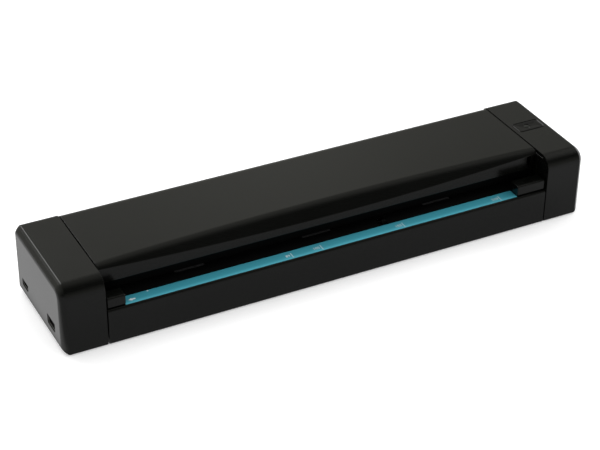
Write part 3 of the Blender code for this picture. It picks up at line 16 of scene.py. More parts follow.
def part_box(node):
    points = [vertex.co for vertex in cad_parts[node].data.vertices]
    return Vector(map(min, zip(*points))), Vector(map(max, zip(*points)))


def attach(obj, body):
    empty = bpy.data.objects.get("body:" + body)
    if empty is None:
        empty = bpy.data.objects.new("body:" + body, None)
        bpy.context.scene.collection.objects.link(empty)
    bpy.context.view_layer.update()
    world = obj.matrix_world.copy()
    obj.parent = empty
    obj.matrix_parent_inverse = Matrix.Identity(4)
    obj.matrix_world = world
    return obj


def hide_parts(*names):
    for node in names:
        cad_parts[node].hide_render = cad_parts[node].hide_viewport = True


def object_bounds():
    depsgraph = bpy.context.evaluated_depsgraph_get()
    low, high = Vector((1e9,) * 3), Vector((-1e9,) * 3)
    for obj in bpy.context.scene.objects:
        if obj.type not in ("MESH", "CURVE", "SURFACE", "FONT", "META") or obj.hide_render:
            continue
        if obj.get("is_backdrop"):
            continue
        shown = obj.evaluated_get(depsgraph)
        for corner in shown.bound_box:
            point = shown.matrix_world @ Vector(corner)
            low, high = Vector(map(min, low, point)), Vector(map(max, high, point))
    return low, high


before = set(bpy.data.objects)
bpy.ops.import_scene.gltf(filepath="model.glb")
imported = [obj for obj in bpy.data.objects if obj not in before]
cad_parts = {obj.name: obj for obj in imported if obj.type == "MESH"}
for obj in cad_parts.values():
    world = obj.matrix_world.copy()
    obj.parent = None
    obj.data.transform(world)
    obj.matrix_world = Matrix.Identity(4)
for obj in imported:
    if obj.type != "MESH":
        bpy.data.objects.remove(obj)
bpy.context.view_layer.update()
MM = 0.001

# %% [markdown]
# ## Camera, floor and light
# A product photograph of a black object is a picture of its reflections. Matt surfaces are lit by a bright,
# even tent and two soft panels. The gloss sees a dim room instead: a pale wall behind the table that fades
# upwards, a weak glow from the front and one high on the right, and near black between them. The camera is a
# long lens from the front left, a third of the way up. The plain view transform keeps black plastic black.

# %% Camera
LENS = 105.5
CAMERA_AZIMUTH = math.radians(-27.38)
CAMERA_ELEVATION = math.radians(32.71)
CAMERA_ROLL = math.radians(0.62)
CAMERA_PLACE = Vector((-353.67, -673.13, 502.79)) * MM


def camera_axes(azimuth, elevation, roll):
    """The camera's right, up and backward directions: back points from the object to the camera."""
    back = Vector(
        (
            math.sin(azimuth) * math.cos(elevation),
            -math.cos(azimuth) * math.cos(elevation),
            math.sin(elevation),
        )
    )
    right = (-back).cross(Vector((0, 0, 1))).normalized()
    up = right.cross(-back)
    turned_right = right * math.cos(roll) + up * math.sin(roll)
    turned_up = up * math.cos(roll) - right * math.sin(roll)
    return turned_right, turned_up, back


camera = bpy.data.objects.new("camera", bpy.data.cameras.new("camera"))
camera.data.lens = LENS
camera.data.clip_start = 0.01
turn = Matrix(camera_axes(CAMERA_AZIMUTH, CAMERA_ELEVATION, CAMERA_ROLL)).transposed()
camera.matrix_world = Matrix.Translation(CAMERA_PLACE) @ turn.to_4x4()
bpy.context.scene.collection.objects.link(camera)
bpy.context.scene.camera = camera
print("camera at", [round(c, 3) for c in CAMERA_PLACE])

# %% Soft panels and a dim room


def soft_panel(name, place, size, power, aim=(0, 0, 0)):
    """A square area light at a place, turned so that its face looks at the aim point."""
    panel = bpy.data.objects.new(name, bpy.data.lights.new(name, "AREA"))
    panel.data.shape = "RECTANGLE"
    panel.data.size, panel.data.size_y = size
    panel.data.energy = power
    panel.location = place
    panel.rotation_euler = (Vector(place) - Vector(aim)).to_track_quat("Z", "Y").to_euler()
    bpy.context.scene.collection.objects.link(panel)
    return panel


# Place in metres, width and height in metres, and power in watts
soft_panel("back_panel", (-0.45, 1.20, 1.20), (1.1, 1.0), 12)
soft_panel("right_panel", (1.60, 0.10, 1.10), (1.1, 0.8), 11)


def smooth_range(tree, value, start, end, low, high):
    """A mask that eases from low to high while a value runs from start to end."""
    span = tree.nodes.new("ShaderNodeMapRange")
    span.interpolation_type = "SMOOTHSTEP"
    for label, number in zip(("From Min", "From Max", "To Min", "To Max"), (start, end, low, high)):
        span.inputs[label].default_value = number
    tree.links.new(value, span.inputs["Value"])
    return span.outputs["Result"]


def combine(tree, operation, first, *others):
    """The same arithmetic step carried through two or more values."""
    for other in others:
        step = tree.nodes.new("ShaderNodeMath")
        step.operation = operation
        for socket, value in zip(step.inputs, (first, other)):
            if isinstance(value, (int, float)):
                socket.default_value = value
            else:
                tree.links.new(value, socket)
        first = step.outputs[0]
    return first


def masks_over(tree, coordinates, spans):
    """One smooth mask for each name: its axis, where it starts and ends, and its values there."""
    place = tree.nodes.new("ShaderNodeTexCoord")
    parts = tree.nodes.new("ShaderNodeSeparateXYZ")
    tree.links.new(place.outputs[coordinates], parts.inputs["Vector"])
    return {name: smooth_range(tree, parts.outputs[axis], *span) for name, (axis, *span) in spans.items()}


def seen_by_gloss(tree, others, gloss):
    """A shader that shows one input to mirror rays and the other to all the rest."""
    rays, choose = tree.nodes.new("ShaderNodeLightPath"), tree.nodes.new("ShaderNodeMixShader")
    for source, socket in zip((rays.outputs["Is Glossy Ray"], others, gloss), choose.inputs):
        tree.links.new(source, socket)
    return choose.outputs[0]


# The masks run over the direction in which a ray leaves, where 0 is level and 1 straight along the axis
ROOM_MASKS = {
    "wall_height": ("Z", 0.42, 0.70, 0.53, 0.29),
    "wall_behind": ("Y", -0.56, 0.34, 0.03, 1.0),
    "wall_right_end": ("X", 0.36, 0.50, 1.0, 0.50),
    "wall_right_glow": ("X", 0.27, 0.42, 0.80, 1.20),
    "front": ("Y", -0.45, -0.75, 0.0, 1.0),
    "front_height": ("Z", 0.66, 0.10, 0.0, 0.20),
    "above_from": ("Y", -0.52, -0.20, 0.0, 1.0),
    "above_to": ("Y", 0.15, 0.60, 1.0, 0.0),
    "above_right": ("X", 0.47, 0.53, 0.0, 0.13),
}
ROOM_COLOUR, ROOM_DARK, TENT_STRENGTH = (1.0, 1.0, 0.91, 1.0), 0.015, 1.15

world = bpy.data.worlds.new("dim_room")
bpy.context.scene.world = world
world.use_nodes = True
room = world.node_tree
mask = masks_over(room, "Generated", ROOM_MASKS)
wall = combine(room, "MULTIPLY", *[mask[name] for name in ROOM_MASKS if name.startswith("wall")])
front = combine(room, "MULTIPLY", mask["front"], mask["front_height"])
above = combine(room, "MULTIPLY", mask["above_from"], mask["above_to"], mask["above_right"])
mirrored = room.nodes["Background"]
mirrored.inputs["Color"].default_value = ROOM_COLOUR
room.links.new(combine(room, "ADD", wall, front, above, ROOM_DARK), mirrored.inputs["Strength"])
tent = room.nodes.new("ShaderNodeBackground")
tent.inputs["Strength"].default_value = TENT_STRENGTH
room.links.new(seen_by_gloss(room, tent.outputs[0], mirrored.outputs[0]), room.nodes["World Output"].inputs["Surface"])
bpy.context.scene.view_settings.view_transform = "Standard"

# %% [markdown]
# ## Surfaces from arrays
# Every new surface here is a grid of points worked out with numpy, in millimetres. A shape is either a
# section carried along X or a function of two parameters. One helper turns such a grid into a mesh in
# metres, and another gives the mesh its finish and ties it to the body that it moves with.

# %% From grid to mesh


def grid_mesh(name, grid, wrap=True, ends=True):
    """Faces over a grid of points in millimetres, with shape (rings, points, 3).

    Neighbours in both directions make one quad. Wrap joins each ring's last point to its first, and
    ends closes the first and the last ring with a face each.
    """
    rings, count = grid.shape[:2]
    spans = np.arange(count if wrap else count - 1)
    row, column = np.meshgrid(np.arange(rings - 1) * count, spans, indexing="ij")
    after = (column + 1) % count
    quads = np.stack([row + column, row + after, row + count + after, row + count + column], axis=-1)
    faces = quads.reshape(-1, 4).tolist()
    if ends:
        faces.append(list(range(count))[::-1])
        faces.append(list(range((rings - 1) * count, rings * count)))
    mesh = bpy.data.meshes.new(name)
    mesh.from_pydata((grid.reshape(-1, 3) * MM).tolist(), [], faces)
    return mesh


def clean(mesh, merge=0.002 * MM):
    """Joins points that lie on each other and points every face outwards."""
    grid = bmesh.new()
    grid.from_mesh(mesh)
    bmesh.ops.remove_doubles(grid, verts=grid.verts, dist=merge)
    bmesh.ops.recalc_face_normals(grid, faces=grid.faces)
    grid.to_mesh(mesh)
    grid.free()
    return mesh


def put(name, mesh):
    """A new object at the origin that holds the mesh."""
    piece = bpy.data.objects.new(name, mesh)
    bpy.context.scene.collection.objects.link(piece)
    return piece


def smooth_mesh(mesh, angle=32):
    """Smooth shading that keeps edges sharper than the angle."""
    mesh.shade_smooth()
    mesh.set_sharp_from_angle(angle=math.radians(angle))


def bake_modifiers(piece):
    """Replaces a piece's mesh by what its modifiers make of it."""
    view = bpy.context.evaluated_depsgraph_get()
    mesh = bpy.data.meshes.new_from_object(piece.evaluated_get(view))
    piece.modifiers.clear()
    piece.data = mesh
    return piece


def carve(piece, *cutters, operation="DIFFERENCE"):
    """Cuts closed meshes out of a piece, or joins them to it, and removes them."""
    for cutter in cutters:
        step = piece.modifiers.new("carve", "BOOLEAN")
        step.operation = operation
        step.object = cutter
        bake_modifiers(piece)
        bpy.data.objects.remove(cutter, do_unlink=True)
    return piece


def soften(piece, angle=32):
    """Smooth shading in which large flat faces keep their own normals and the small curved ones follow."""
    smooth_mesh(piece.data, angle)
    weigh = piece.modifiers.new("flat_faces_first", "WEIGHTED_NORMAL")
    weigh.keep_sharp = True
    return bake_modifiers(piece)


def dress(piece, body, finish, slot, *nodes, angle=32):
    """Gives a piece its finish and shading, its body and the nodes that it stands for."""
    piece.data.materials.clear()
    piece.data.materials.append(finish)
    soften(piece, angle)
    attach(piece, body)
    if nodes:
        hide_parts(*nodes)
    print(f"{piece.name}: {len(piece.data.polygons)} faces")
    return piece


# %% Outlines


def arc_points(centre, radius, start, end, count):
    """Points on an arc between two angles in degrees: centre plus radius times (cos, sin)."""
    angle = np.radians(np.linspace(start, end, count))
    return np.stack([centre[0] + radius * np.cos(angle), centre[1] + radius * np.sin(angle)], axis=1)


def rounded_outline(low, high, radii, count=9):
    """A rectangle whose corners are arcs: low left, low right, high right, high left."""
    corners = []
    for k, radius in enumerate(radii):
        x = low[0] + radius if k in (0, 3) else high[0] - radius
        y = low[1] + radius if k in (0, 1) else high[1] - radius
        corners.append(arc_points((x, y), radius, 180 + 90 * k, 270 + 90 * k, count))
    return np.concatenate(corners)


def carried(outline, along, places):
    """An outline carried straight along an axis: one ring of 3-D points for each place."""
    rings = []
    for place in places:
        third = np.full(len(outline), place)
        u, v = outline[:, 0], outline[:, 1]
        columns = {"x": (third, u, v), "y": (u, third, v), "z": (u, v, third)}[along]
        rings.append(np.stack(columns, axis=1))
    return np.stack(rings)


def bar(name, outline, along, start, end):
    """A solid bar: one outline from one place to another along an axis."""
    return put(name, clean(grid_mesh(name, carried(outline, along, (start, end)))))


def brick(name, low, high):
    """A plain rectangular solid between two corners, used for cuts and as a blank to be rounded."""
    outline = np.array([(low[0], low[1]), (high[0], low[1]), (high[0], high[1]), (low[0], high[1])])
    return bar(name, outline, "z", low[2], high[2])


def round_bar(name, centre, radius, along, start, end, count=49):
    """A cylinder: a circle carried along an axis."""
    return bar(name, arc_points(centre, radius, 0, 360, count)[:-1], along, start, end)

# %% [markdown]
# ## Finishes
# Nearly all of the scanner is moulded plastic, so one shader group gives every plastic its fine grain and
# its uneven gloss: handling leaves smudges that only show in the reflections. A second group draws the
# long, thin lines of ground or rolled metal. Both read the piece's own coordinates, in metres.

# %% Shader groups


def shader_group(name, inputs, outputs):
    """A node group with float inputs and the given outputs, and its two end nodes."""
    tree = bpy.data.node_groups.new(name, "ShaderNodeTree")
    for label, value in inputs.items():
        tree.interface.new_socket(label, in_out="INPUT", socket_type="NodeSocketFloat").default_value = value
    for label, kind in outputs.items():
        tree.interface.new_socket(label, in_out="OUTPUT", socket_type=kind)
    return tree, tree.nodes.new("NodeGroupInput"), tree.nodes.new("NodeGroupOutput")


def noise_in(tree, scale, detail, stretch=(1, 1, 1)):
    """A noise over the piece's own coordinates, stretched along an axis if asked."""
    place = tree.nodes.new("ShaderNodeTexCoord")
    mapping = tree.nodes.new("ShaderNodeMapping")
    mapping.inputs["Scale"].default_value = stretch
    noise = tree.nodes.new("ShaderNodeTexNoise")
    noise.inputs["Scale"].default_value = scale
    noise.inputs["Detail"].default_value = detail
    tree.links.new(place.outputs["Object"], mapping.inputs["Vector"])
    tree.links.new(mapping.outputs["Vector"], noise.inputs["Vector"])
    return noise


def around(tree, mask, middle, spread):
    """Middle plus spread times (mask minus one half)."""
    shifted = tree.nodes.new("ShaderNodeMath")
    shifted.operation = "SUBTRACT"
    shifted.inputs[1].default_value = 0.5
    result = tree.nodes.new("ShaderNodeMath")
    result.operation = "MULTIPLY_ADD"
    tree.links.new(mask, shifted.inputs[0])
    tree.links.new(shifted.outputs[0], result.inputs[0])
    tree.links.new(spread, result.inputs[1])
    tree.links.new(middle, result.inputs[2])
    return result.outputs[0]


def surface_group(name, stretch, detail, distance):
    """A group that turns noise into relief and uneven gloss, and puts out its smudge mask too."""
    tree, start, end = shader_group(
        name,
        {"Grain Scale": 2500, "Relief": 0.2, "Roughness": 0.35, "Smudge": 0.1},
        {"Roughness": "NodeSocketFloat", "Normal": "NodeSocketVector", "Mask": "NodeSocketFloat"},
    )
    grain = noise_in(tree, 1, detail, stretch)
    tree.links.new(start.outputs["Grain Scale"], grain.inputs["Scale"])
    relief = tree.nodes.new("ShaderNodeBump")
    relief.inputs["Distance"].default_value = distance
    tree.links.new(start.outputs["Relief"], relief.inputs["Strength"])
    tree.links.new(grain.outputs["Fac"], relief.inputs["Height"])
    smudge = noise_in(tree, 38, 4)
    level = around(tree, smudge.outputs["Fac"], start.outputs["Roughness"], start.outputs["Smudge"])
    tree.links.new(level, end.inputs["Roughness"])
    tree.links.new(relief.outputs["Normal"], end.inputs["Normal"])
    tree.links.new(smudge.outputs["Fac"], end.inputs["Mask"])
    return tree


MOULDED = surface_group("moulded_surface", (1, 1, 1), 2, 0.03 * MM)
DRAWN = surface_group("drawn_surface", (0.03, 1, 1), 3, 0.02 * MM)
print("groups:", MOULDED.name, DRAWN.name)

# %% A material from a group


def finish(name, colour, second, group, grain, relief, roughness, smudge, **sockets):
    """A Principled material: two close colours mixed by the group's mask, with its gloss and relief."""
    made = bpy.data.materials.new(name)
    made.use_nodes = True
    tree = made.node_tree
    shader = tree.nodes["Principled BSDF"]
    effect = tree.nodes.new("ShaderNodeGroup")
    effect.node_tree = group
    values = {"Grain Scale": grain, "Relief": relief, "Roughness": roughness, "Smudge": smudge}
    for label, value in values.items():
        effect.inputs[label].default_value = value
    mix = tree.nodes.new("ShaderNodeMix")
    mix.data_type = "RGBA"
    mix.inputs["A"].default_value = (*colour, 1)
    mix.inputs["B"].default_value = (*second, 1)
    tree.links.new(effect.outputs["Mask"], mix.inputs["Factor"])
    tree.links.new(mix.outputs["Result"], shader.inputs["Base Color"])
    tree.links.new(effect.outputs["Roughness"], shader.inputs["Roughness"])
    tree.links.new(effect.outputs["Normal"], shader.inputs["Normal"])
    for label, value in sockets.items():
        shader.inputs[label.replace("_", " ")].default_value = value
    made.diffuse_color = (*colour, 1)
    return made


METAL = {"Metallic": 1.0}
SHELL = finish("satin_black_shell", (0.0013, 0.0015, 0.0011), (0.0019, 0.0021, 0.0017), MOULDED, 2600, 0.22, 0.21, 0.05)
GLOSS = finish(
    "gloss_black_button", (0.0020, 0.0020, 0.0020), (0.0028, 0.0028, 0.0028), MOULDED, 1800, 0.08, 0.16, 0.05,
    Specular_IOR_Level=0.30,
)
# Near-black for the parts inside the case, darker than the shell: their own black plastic, and painted shade where they
# sit in the mouth and the sockets.
INSIDE_BLACK_AND_SHADE = finish(
    "matt_black_inside_painted_shade", (0.0004, 0.0005, 0.0004), (0.0007, 0.0008, 0.0007), MOULDED, 1500, 0.5, 0.70, 0.10,
    Specular_IOR_Level=0.20,
)
RUBBER = finish("dark_rubber", (0.020, 0.020, 0.021), (0.030, 0.030, 0.030), MOULDED, 900, 0.9, 0.80, 0.08)
STEEL = finish("ground_steel", (0.52, 0.52, 0.51), (0.60, 0.60, 0.59), DRAWN, 1500, 0.35, 0.28, 0.12, **METAL)
PLATED = finish("plated_steel", (0.62, 0.61, 0.58), (0.70, 0.69, 0.66), MOULDED, 1200, 0.15, 0.22, 0.08, **METAL)
ACETAL = finish("white_acetal", (0.66, 0.65, 0.60), (0.72, 0.71, 0.67), MOULDED, 900, 0.3, 0.42, 0.08)
BRONZE = finish("sintered_bronze", (0.36, 0.22, 0.09), (0.46, 0.30, 0.14), MOULDED, 2200, 0.8, 0.42, 0.15, **METAL)
PLATE_ZINC = finish("zinc_plate", (0.50, 0.51, 0.50), (0.62, 0.62, 0.60), MOULDED, 260, 0.15, 0.36, 0.20, **METAL)
LACQUER = finish("green_lacquer", (0.010, 0.090, 0.035), (0.014, 0.120, 0.050), MOULDED, 700, 0.4, 0.30, 0.06)
FLEX = finish("white_ribbon", (0.55, 0.56, 0.58), (0.62, 0.63, 0.64), DRAWN, 900, 0.4, 0.38, 0.05)
LEAD = finish("grey_lead", (0.10, 0.10, 0.11), (0.13, 0.13, 0.14), MOULDED, 1100, 0.5, 0.50, 0.08)
PRINT = finish("white_print", (0.58, 0.66, 0.68), (0.66, 0.72, 0.74), MOULDED, 3000, 0.3, 0.55, 0.05)
LENS_CLEAR = finish("smoked_window", (0.004, 0.005, 0.004), (0.006, 0.007, 0.006), MOULDED, 600, 0.05, 0.12, 0.03)
DARK_NICKEL = finish("dark_nickel", (0.10, 0.10, 0.095), (0.15, 0.15, 0.14), MOULDED, 1400, 0.2, 0.34, 0.10, **METAL)
GOLD = finish("gold_contacts", (0.70, 0.48, 0.16), (0.78, 0.56, 0.22), MOULDED, 900, 0.1, 0.25, 0.05, **METAL)
print("materials:", len(bpy.data.materials))

# %% [markdown]
# The strip is tinted plastic, dark blue-green. Its colour is painted brighter along its front edge, a painted
# highlight where the room's light reaches it under the lip. The clear sensor glass keeps a plain transmission value.

# %% Strip and glass


def along_axis(tree, axis, start, end):
    """A mask that runs from 0 to 1 between two places along one axis of the piece."""
    place = tree.nodes.new("ShaderNodeTexCoord")
    parts = tree.nodes.new("ShaderNodeSeparateXYZ")
    span = tree.nodes.new("ShaderNodeMapRange")
    span.inputs["From Min"].default_value = start
    span.inputs["From Max"].default_value = end
    tree.links.new(place.outputs["Object"], parts.inputs["Vector"])
    tree.links.new(parts.outputs[axis], span.inputs["Value"])
    return span.outputs["Result"]


# The darker colour is the strip's own tint; the brighter one is a painted highlight along the front edge.
STRIP = finish("tinted_strip", (0.040, 0.265, 0.335), (0.078, 0.400, 0.495), MOULDED, 1600, 0.15, 0.38, 0.06)
PAINTED_LIGHT_FROM, PAINTED_LIGHT_TO = 2.2 * MM, 0.2 * MM
strip_tree = STRIP.node_tree
strip_mix = next(n for n in strip_tree.nodes if n.type == "MIX")
strip_low, strip_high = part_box("feed_strip")
painted_light_edge = along_axis(strip_tree, "Y", strip_low.y + PAINTED_LIGHT_FROM, strip_low.y + PAINTED_LIGHT_TO)
strip_tree.links.new(painted_light_edge, strip_mix.inputs["Factor"])
GLASS = finish("sensor_glass", (0.70, 0.80, 0.78), (0.72, 0.82, 0.80), MOULDED, 300, 0.02, 0.05, 0.02)
GLASS_CLEARNESS = 0.75
GLASS.node_tree.nodes["Principled BSDF"].inputs["Transmission Weight"].default_value = GLASS_CLEARNESS
print("strip in mm:", [round(c / MM, 2) for c in strip_low], [round(c / MM, 2) for c in strip_high])

# %% [markdown]
# ## The floor
# The floor is pale. To the camera it is white with a faint contact shadow, as in a cut-out product picture.
# To the shell's gloss it shows painted glowing patches for what lay round the real one: white card beyond
# the two ends, which brightens the end faces, and a dim table in front and behind, which keeps the long faces black.

# %% Floor
FLOOR_HALF = 4000
FLOOR_EMISSION = 0.30
# The masks run over the floor in metres and paint its glow, a painted reflection seen by the gloss alone.
# The card's strength is 0.60 past both ends of the scanner.
FLOOR_MASKS = {
    "card_right": ("X", 0.146, 0.151, 0.0, 0.60),
    "card_left": ("X", -0.146, -0.151, 0.0, 0.60),
    "card_front": ("Y", -0.037, -0.031, 0.0, 1.0),
    "table": ("Y", -0.072, -0.044, 0.300, 0.250),
    "table_right": ("X", 0.125, 0.155, 1.0, 1.20),
}
front_row, back_row = ([(x, y, 0) for x in (-FLOOR_HALF, FLOOR_HALF)] for y in (-FLOOR_HALF, FLOOR_HALF))
floor_mesh = grid_mesh("floor", np.array([front_row, back_row]), wrap=False, ends=False)
floor = put("floor", floor_mesh)
PALE = finish("pale_floor", (0.86, 0.86, 0.86), (0.88, 0.88, 0.88), MOULDED, 40, 0.05, 0.75, 0.04)
pale = PALE.node_tree
shader, output = pale.nodes["Principled BSDF"], pale.nodes["Material Output"]
shader.inputs["Emission Color"].default_value = (1, 1, 1, 1)
shader.inputs["Emission Strength"].default_value = FLOOR_EMISSION
mask = masks_over(pale, "Object", FLOOR_MASKS)
# The card and the table are glowing patches painted on the floor, seen only in the shell's reflections.
ends = combine(pale, "ADD", mask["card_right"], mask["card_left"])
card = combine(pale, "MULTIPLY", ends, mask["card_front"])
table = combine(pale, "MULTIPLY", mask["table"], mask["table_right"])
mirrored_floor = pale.nodes.new("ShaderNodeEmission")
pale.links.new(combine(pale, "ADD", card, table), mirrored_floor.inputs["Strength"])
pale.links.new(seen_by_gloss(pale, shader.outputs[0], mirrored_floor.outputs[0]), output.inputs["Surface"])
floor_mesh.materials.append(PALE)
floor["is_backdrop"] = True
print("floor normal:", [round(c) for c in floor_mesh.polygons[0].normal])

# %% [markdown]
# ## The body's cross-section
# Caps, cover and housing share one outline: nearly a rectangle, with a large radius along the front of the
# top, a smaller one along the hinge, and tight ones underneath. Every piece of the shell is cut from it.

# %% Shared sizes in millimetres
FRONT, BACK, BOTTOM, TOP = -32.5, 32.5, 0.4, 38.3
WALL, BAND = 1.8, 3.1
SKIN_X, CAP_X, END_X = 123.2, 123.9, 146.6
RADII = (0.8, 4.0, 4.2, 7.2)
HINGE, HOOK, PIN_BORE = (27.1, 32.9), 5.4, 2.1
FEED_Y, EXIT_Y, SHAFT_Z, PINCH_Z = -12.5, 17.0, 14.5, 23.9
LIP_Y, LIP_Z, INNER_Y = -21.4, 28.2, -15.4
ROLL_ANGLE, ROLL_TOUCH = 48.0, 2.6
CREASE_DROP, CREASE_SAG = 1.9, 4.2
CEILING = TOP - WALL


def body_outline(inset, count=13):
    """The body's outline in Y and Z, drawn in by a distance: a rectangle with an arc at each corner."""
    radii = [max(radius - inset, 0.05) for radius in RADII]
    return rounded_outline((FRONT + inset, BOTTOM + inset), (BACK - inset, TOP - inset), radii, count)


def fillet(corners, touch, count=7):
    """Rounds the corners of one outline, or of a stack of outlines with shape (stations, corners, 2).

    Each corner becomes a quadratic Bezier arc between the two points that lie the touch distance away
    from it on its sides: (1-t)^2 first + 2t(1-t) corner + t^2 last.
    """
    before, after = np.roll(corners, 1, axis=-2) - corners, np.roll(corners, -1, axis=-2) - corners
    touch = np.asarray(touch, dtype=float)[..., None]
    first = corners + touch * before / np.linalg.norm(before, axis=-1, keepdims=True)
    last = corners + touch * after / np.linalg.norm(after, axis=-1, keepdims=True)
    t = np.linspace(0, 1, count)[:, None]
    stack = [a[..., None, :] for a in (first, corners, last)]
    curve = (1 - t) ** 2 * stack[0] + 2 * t * (1 - t) * stack[1] + t**2 * stack[2]
    return curve.reshape(*corners.shape[:-2], -1, 2)


print("outline points:", len(body_outline(0)))

# %% [markdown]
# ## The end caps
# Each cap is a bucket pushed over the end of the chassis. Its rings follow the body's outline: they start
# on the flat end face, pass over a slanting band that meets the sides in a crease, run to the open edge,
# and come back as the inner wall. The crease and the open edge are barely rounded, so each catches the
# light as a thin line.

# %% Cap shell


def band_path():
    """The cap's band as (inset, x) points: from the end face over a full slanting band to the crease.

    The corners (0, 10), (0, 3.1), (1.35, 1.37), (3.05, 0), (10, 0), as distances from the end face and
    from the side, are rounded by fillet: wide at the face, barely at the crease.
    """
    corners = np.array([(0, 10), (0, BAND), (1.35, 1.37), (BAND, 0), (10, 0), (10, 10)], dtype=float)
    arcs = fillet(corners, [0.1, 0.9, 1.1, 0.22, 0.1, 0.1], 7).reshape(len(corners), 7, 2)
    path = arcs[1:4].reshape(-1, 2)
    return [(inset, END_X - depth) for depth, inset in path]


def cap_rings(side, edge=0.1):
    """A cap's rings from the end face outwards, over the rim and back along the inside."""
    path = band_path()
    path += [(0, CAP_X + edge), (edge * 0.3, CAP_X + edge * 0.3), (edge, CAP_X), (WALL, CAP_X)]
    inner = BAND - WALL
    turn = np.radians(np.linspace(0, 90, 6))
    path += [(WALL + inner * (1 - math.cos(a)), END_X - WALL - inner * (1 - math.sin(a))) for a in turn]
    rings = [carried(body_outline(inset), "x", [side * x])[0] for inset, x in path]
    return np.stack(rings)


def plain_post(place, radius, low, high):
    """A round post that stands between two heights."""
    return round_bar("post", place, radius, "z", low, high, 33)


def screw_hole(x, y, gap=0.3):
    """The countersunk hole of a case screw: a stack of circles, wide at the bottom."""
    profile = [(2.3 + gap, -2.0), (2.3 + gap, 0.85 + gap), (1.05 + gap, 2.1 + gap), (1.05 + gap, 4.35 + gap)]
    rings = [carried(arc_points((x, y), radius, 0, 360, 41)[:-1], "z", [z])[0] for radius, z in profile]
    return put("screw_hole", clean(grid_mesh("screw_hole", np.stack(rings))))


def flared_hole(outline, along, places, grows):
    """A cutter whose outline is a function of its growth, so that the hole gets a chamfered rim."""
    rings = [carried(outline(grow), along, [place])[0] for place, grow in zip(places, grows)]
    return put("hole", clean(grid_mesh("hole", np.stack(rings))))


def socket_outline(name, grow):
    """A socket's outline in Y and Z: a rectangle with its two lower corners cut off, then lightly rounded."""
    y, z, width, height = SOCKETS[name]
    a, b, cut = width / 2 + grow, height / 2 + grow, 1.0
    corners = [(cut - a, -b), (a - cut, -b), (a, cut - b), (a, b), (-a, b), (-a, cut - b)]
    return fillet(np.array(corners) + (y, z), [0.35, 0.35, 0.35, 0.4, 0.4, 0.35], 5)


# Each socket's middle in Y and Z, its width and its height
SOCKETS = {"data_socket": (19.4, 9.7, 7.3, 3.0), "power_socket": (-17.0, 10.4, 9.4, 4.4)}
SCREW_X, SCREW_Y = 129.6, 20
BOARD_POST_X, BOARD_POST_Y = -135.2, 6
left_cap = put("left_cap_shell", clean(grid_mesh("left_cap_shell", cap_rings(-1))))
for name in SOCKETS:
    places = (-END_X - 1, -END_X, -END_X + 0.3, -END_X + WALL + 1)
    hole = flared_hole(lambda grow, name=name: socket_outline(name, grow), "x", places, (0.6, 0.6, 0.3, 0.3))
    carve(left_cap, hole)
carve(left_cap, *[screw_hole(-SCREW_X, y) for y in (-SCREW_Y, SCREW_Y)])
board_posts = [plain_post((BOARD_POST_X, y), 2.0, WALL, 6.0) for y in (-BOARD_POST_Y, BOARD_POST_Y)]
carve(left_cap, *board_posts, operation="UNION")
dress(left_cap, "base", SHELL, "shell_black", "left_end_cap")

# %% [markdown]
# The right cap has the button's opening in its roof, and two posts under the roof that hold the button's
# small board.

# %% Right cap
BUTTON, BUTTON_HALF, BUTTON_RADIUS = (133.75, 3.0), (7.75, 4.5), 1.4
SWITCH_POST_Y, SWITCH_POST_STEP = -4.6, 5.5


def button_outline(grow, count=9):
    """The button opening's rounded rectangle in X and Y."""
    a, b, radius = BUTTON_HALF[0] + grow, BUTTON_HALF[1] + grow, max(BUTTON_RADIUS + grow, 0.1)
    x, y = BUTTON
    return rounded_outline((x - a, y - b), (x + a, y + b), [radius] * 4, count)


right_cap = put("right_cap_shell", clean(grid_mesh("right_cap_shell", cap_rings(1))))
carve(right_cap, flared_hole(button_outline, "z", (CEILING - 1, TOP - 0.2, TOP, TOP + 1), (0, 0, 0.2, 0.2)))
carve(right_cap, *[screw_hole(SCREW_X, y) for y in (-SCREW_Y, SCREW_Y)])
post_places = [(BUTTON[0] + step, SWITCH_POST_Y) for step in (-SWITCH_POST_STEP, SWITCH_POST_STEP)]
carve(right_cap, *[plain_post(place, 1.3, 30.3, 36.9) for place in post_places], operation="UNION")
dress(right_cap, "base", SHELL, "shell_black", "right_end_cap")

# %% [markdown]
# ## The hinged cover
# The cover is one long moulding that hooks round the hinge at the back, runs forward as a flat roof, rolls
# over a soft edge and ends in an upright lip. The lip's upper edge sags in the middle by a few millimetres,
# so the section changes along the length: a stack of sections carries that arc.

# %% Cover section


def drawn_in(outline, distance):
    """Moves each point of a counter-clockwise outline inwards along the mean of its sides' normals."""
    side = np.roll(outline, -1, axis=-2) - outline
    normal = np.stack([side[..., 1], -side[..., 0]], axis=-1)
    normal /= np.linalg.norm(normal, axis=-1, keepdims=True)
    mean = normal + np.roll(normal, 1, axis=-2)
    return outline - distance * mean / np.linalg.norm(mean, axis=-1, keepdims=True)


def eased(start, end, edge, steps=4):
    """Places and insets of a bar's rings: quarter circles at both ends, drawn in by edge at the very end."""
    turn = np.radians(np.linspace(0, 90, steps))
    inset, step = edge * (1 - np.sin(turn)), edge * (1 - np.cos(turn)) * np.sign(end - start)
    return np.concatenate([start + step, (end - step)[::-1]]), np.concatenate([inset, inset[::-1]])


def eased_bar(name, outline, along, start, end, edge):
    """A bar whose two ends are rounded by a small radius: its outline shrinks as each end turns over."""
    stops = zip(*eased(start, end, edge))
    rings = [carried(drawn_in(outline, inset), along, [place])[0] for place, inset in stops]
    return put(name, clean(grid_mesh(name, np.stack(rings))))


def crease_height(x):
    """The lip's upper edge: TOP - CREASE_DROP - CREASE_SAG (1 - (x / SKIN_X)^2), lowest in the middle."""
    return TOP - CREASE_DROP - CREASE_SAG * (1 - (x / SKIN_X) ** 2)


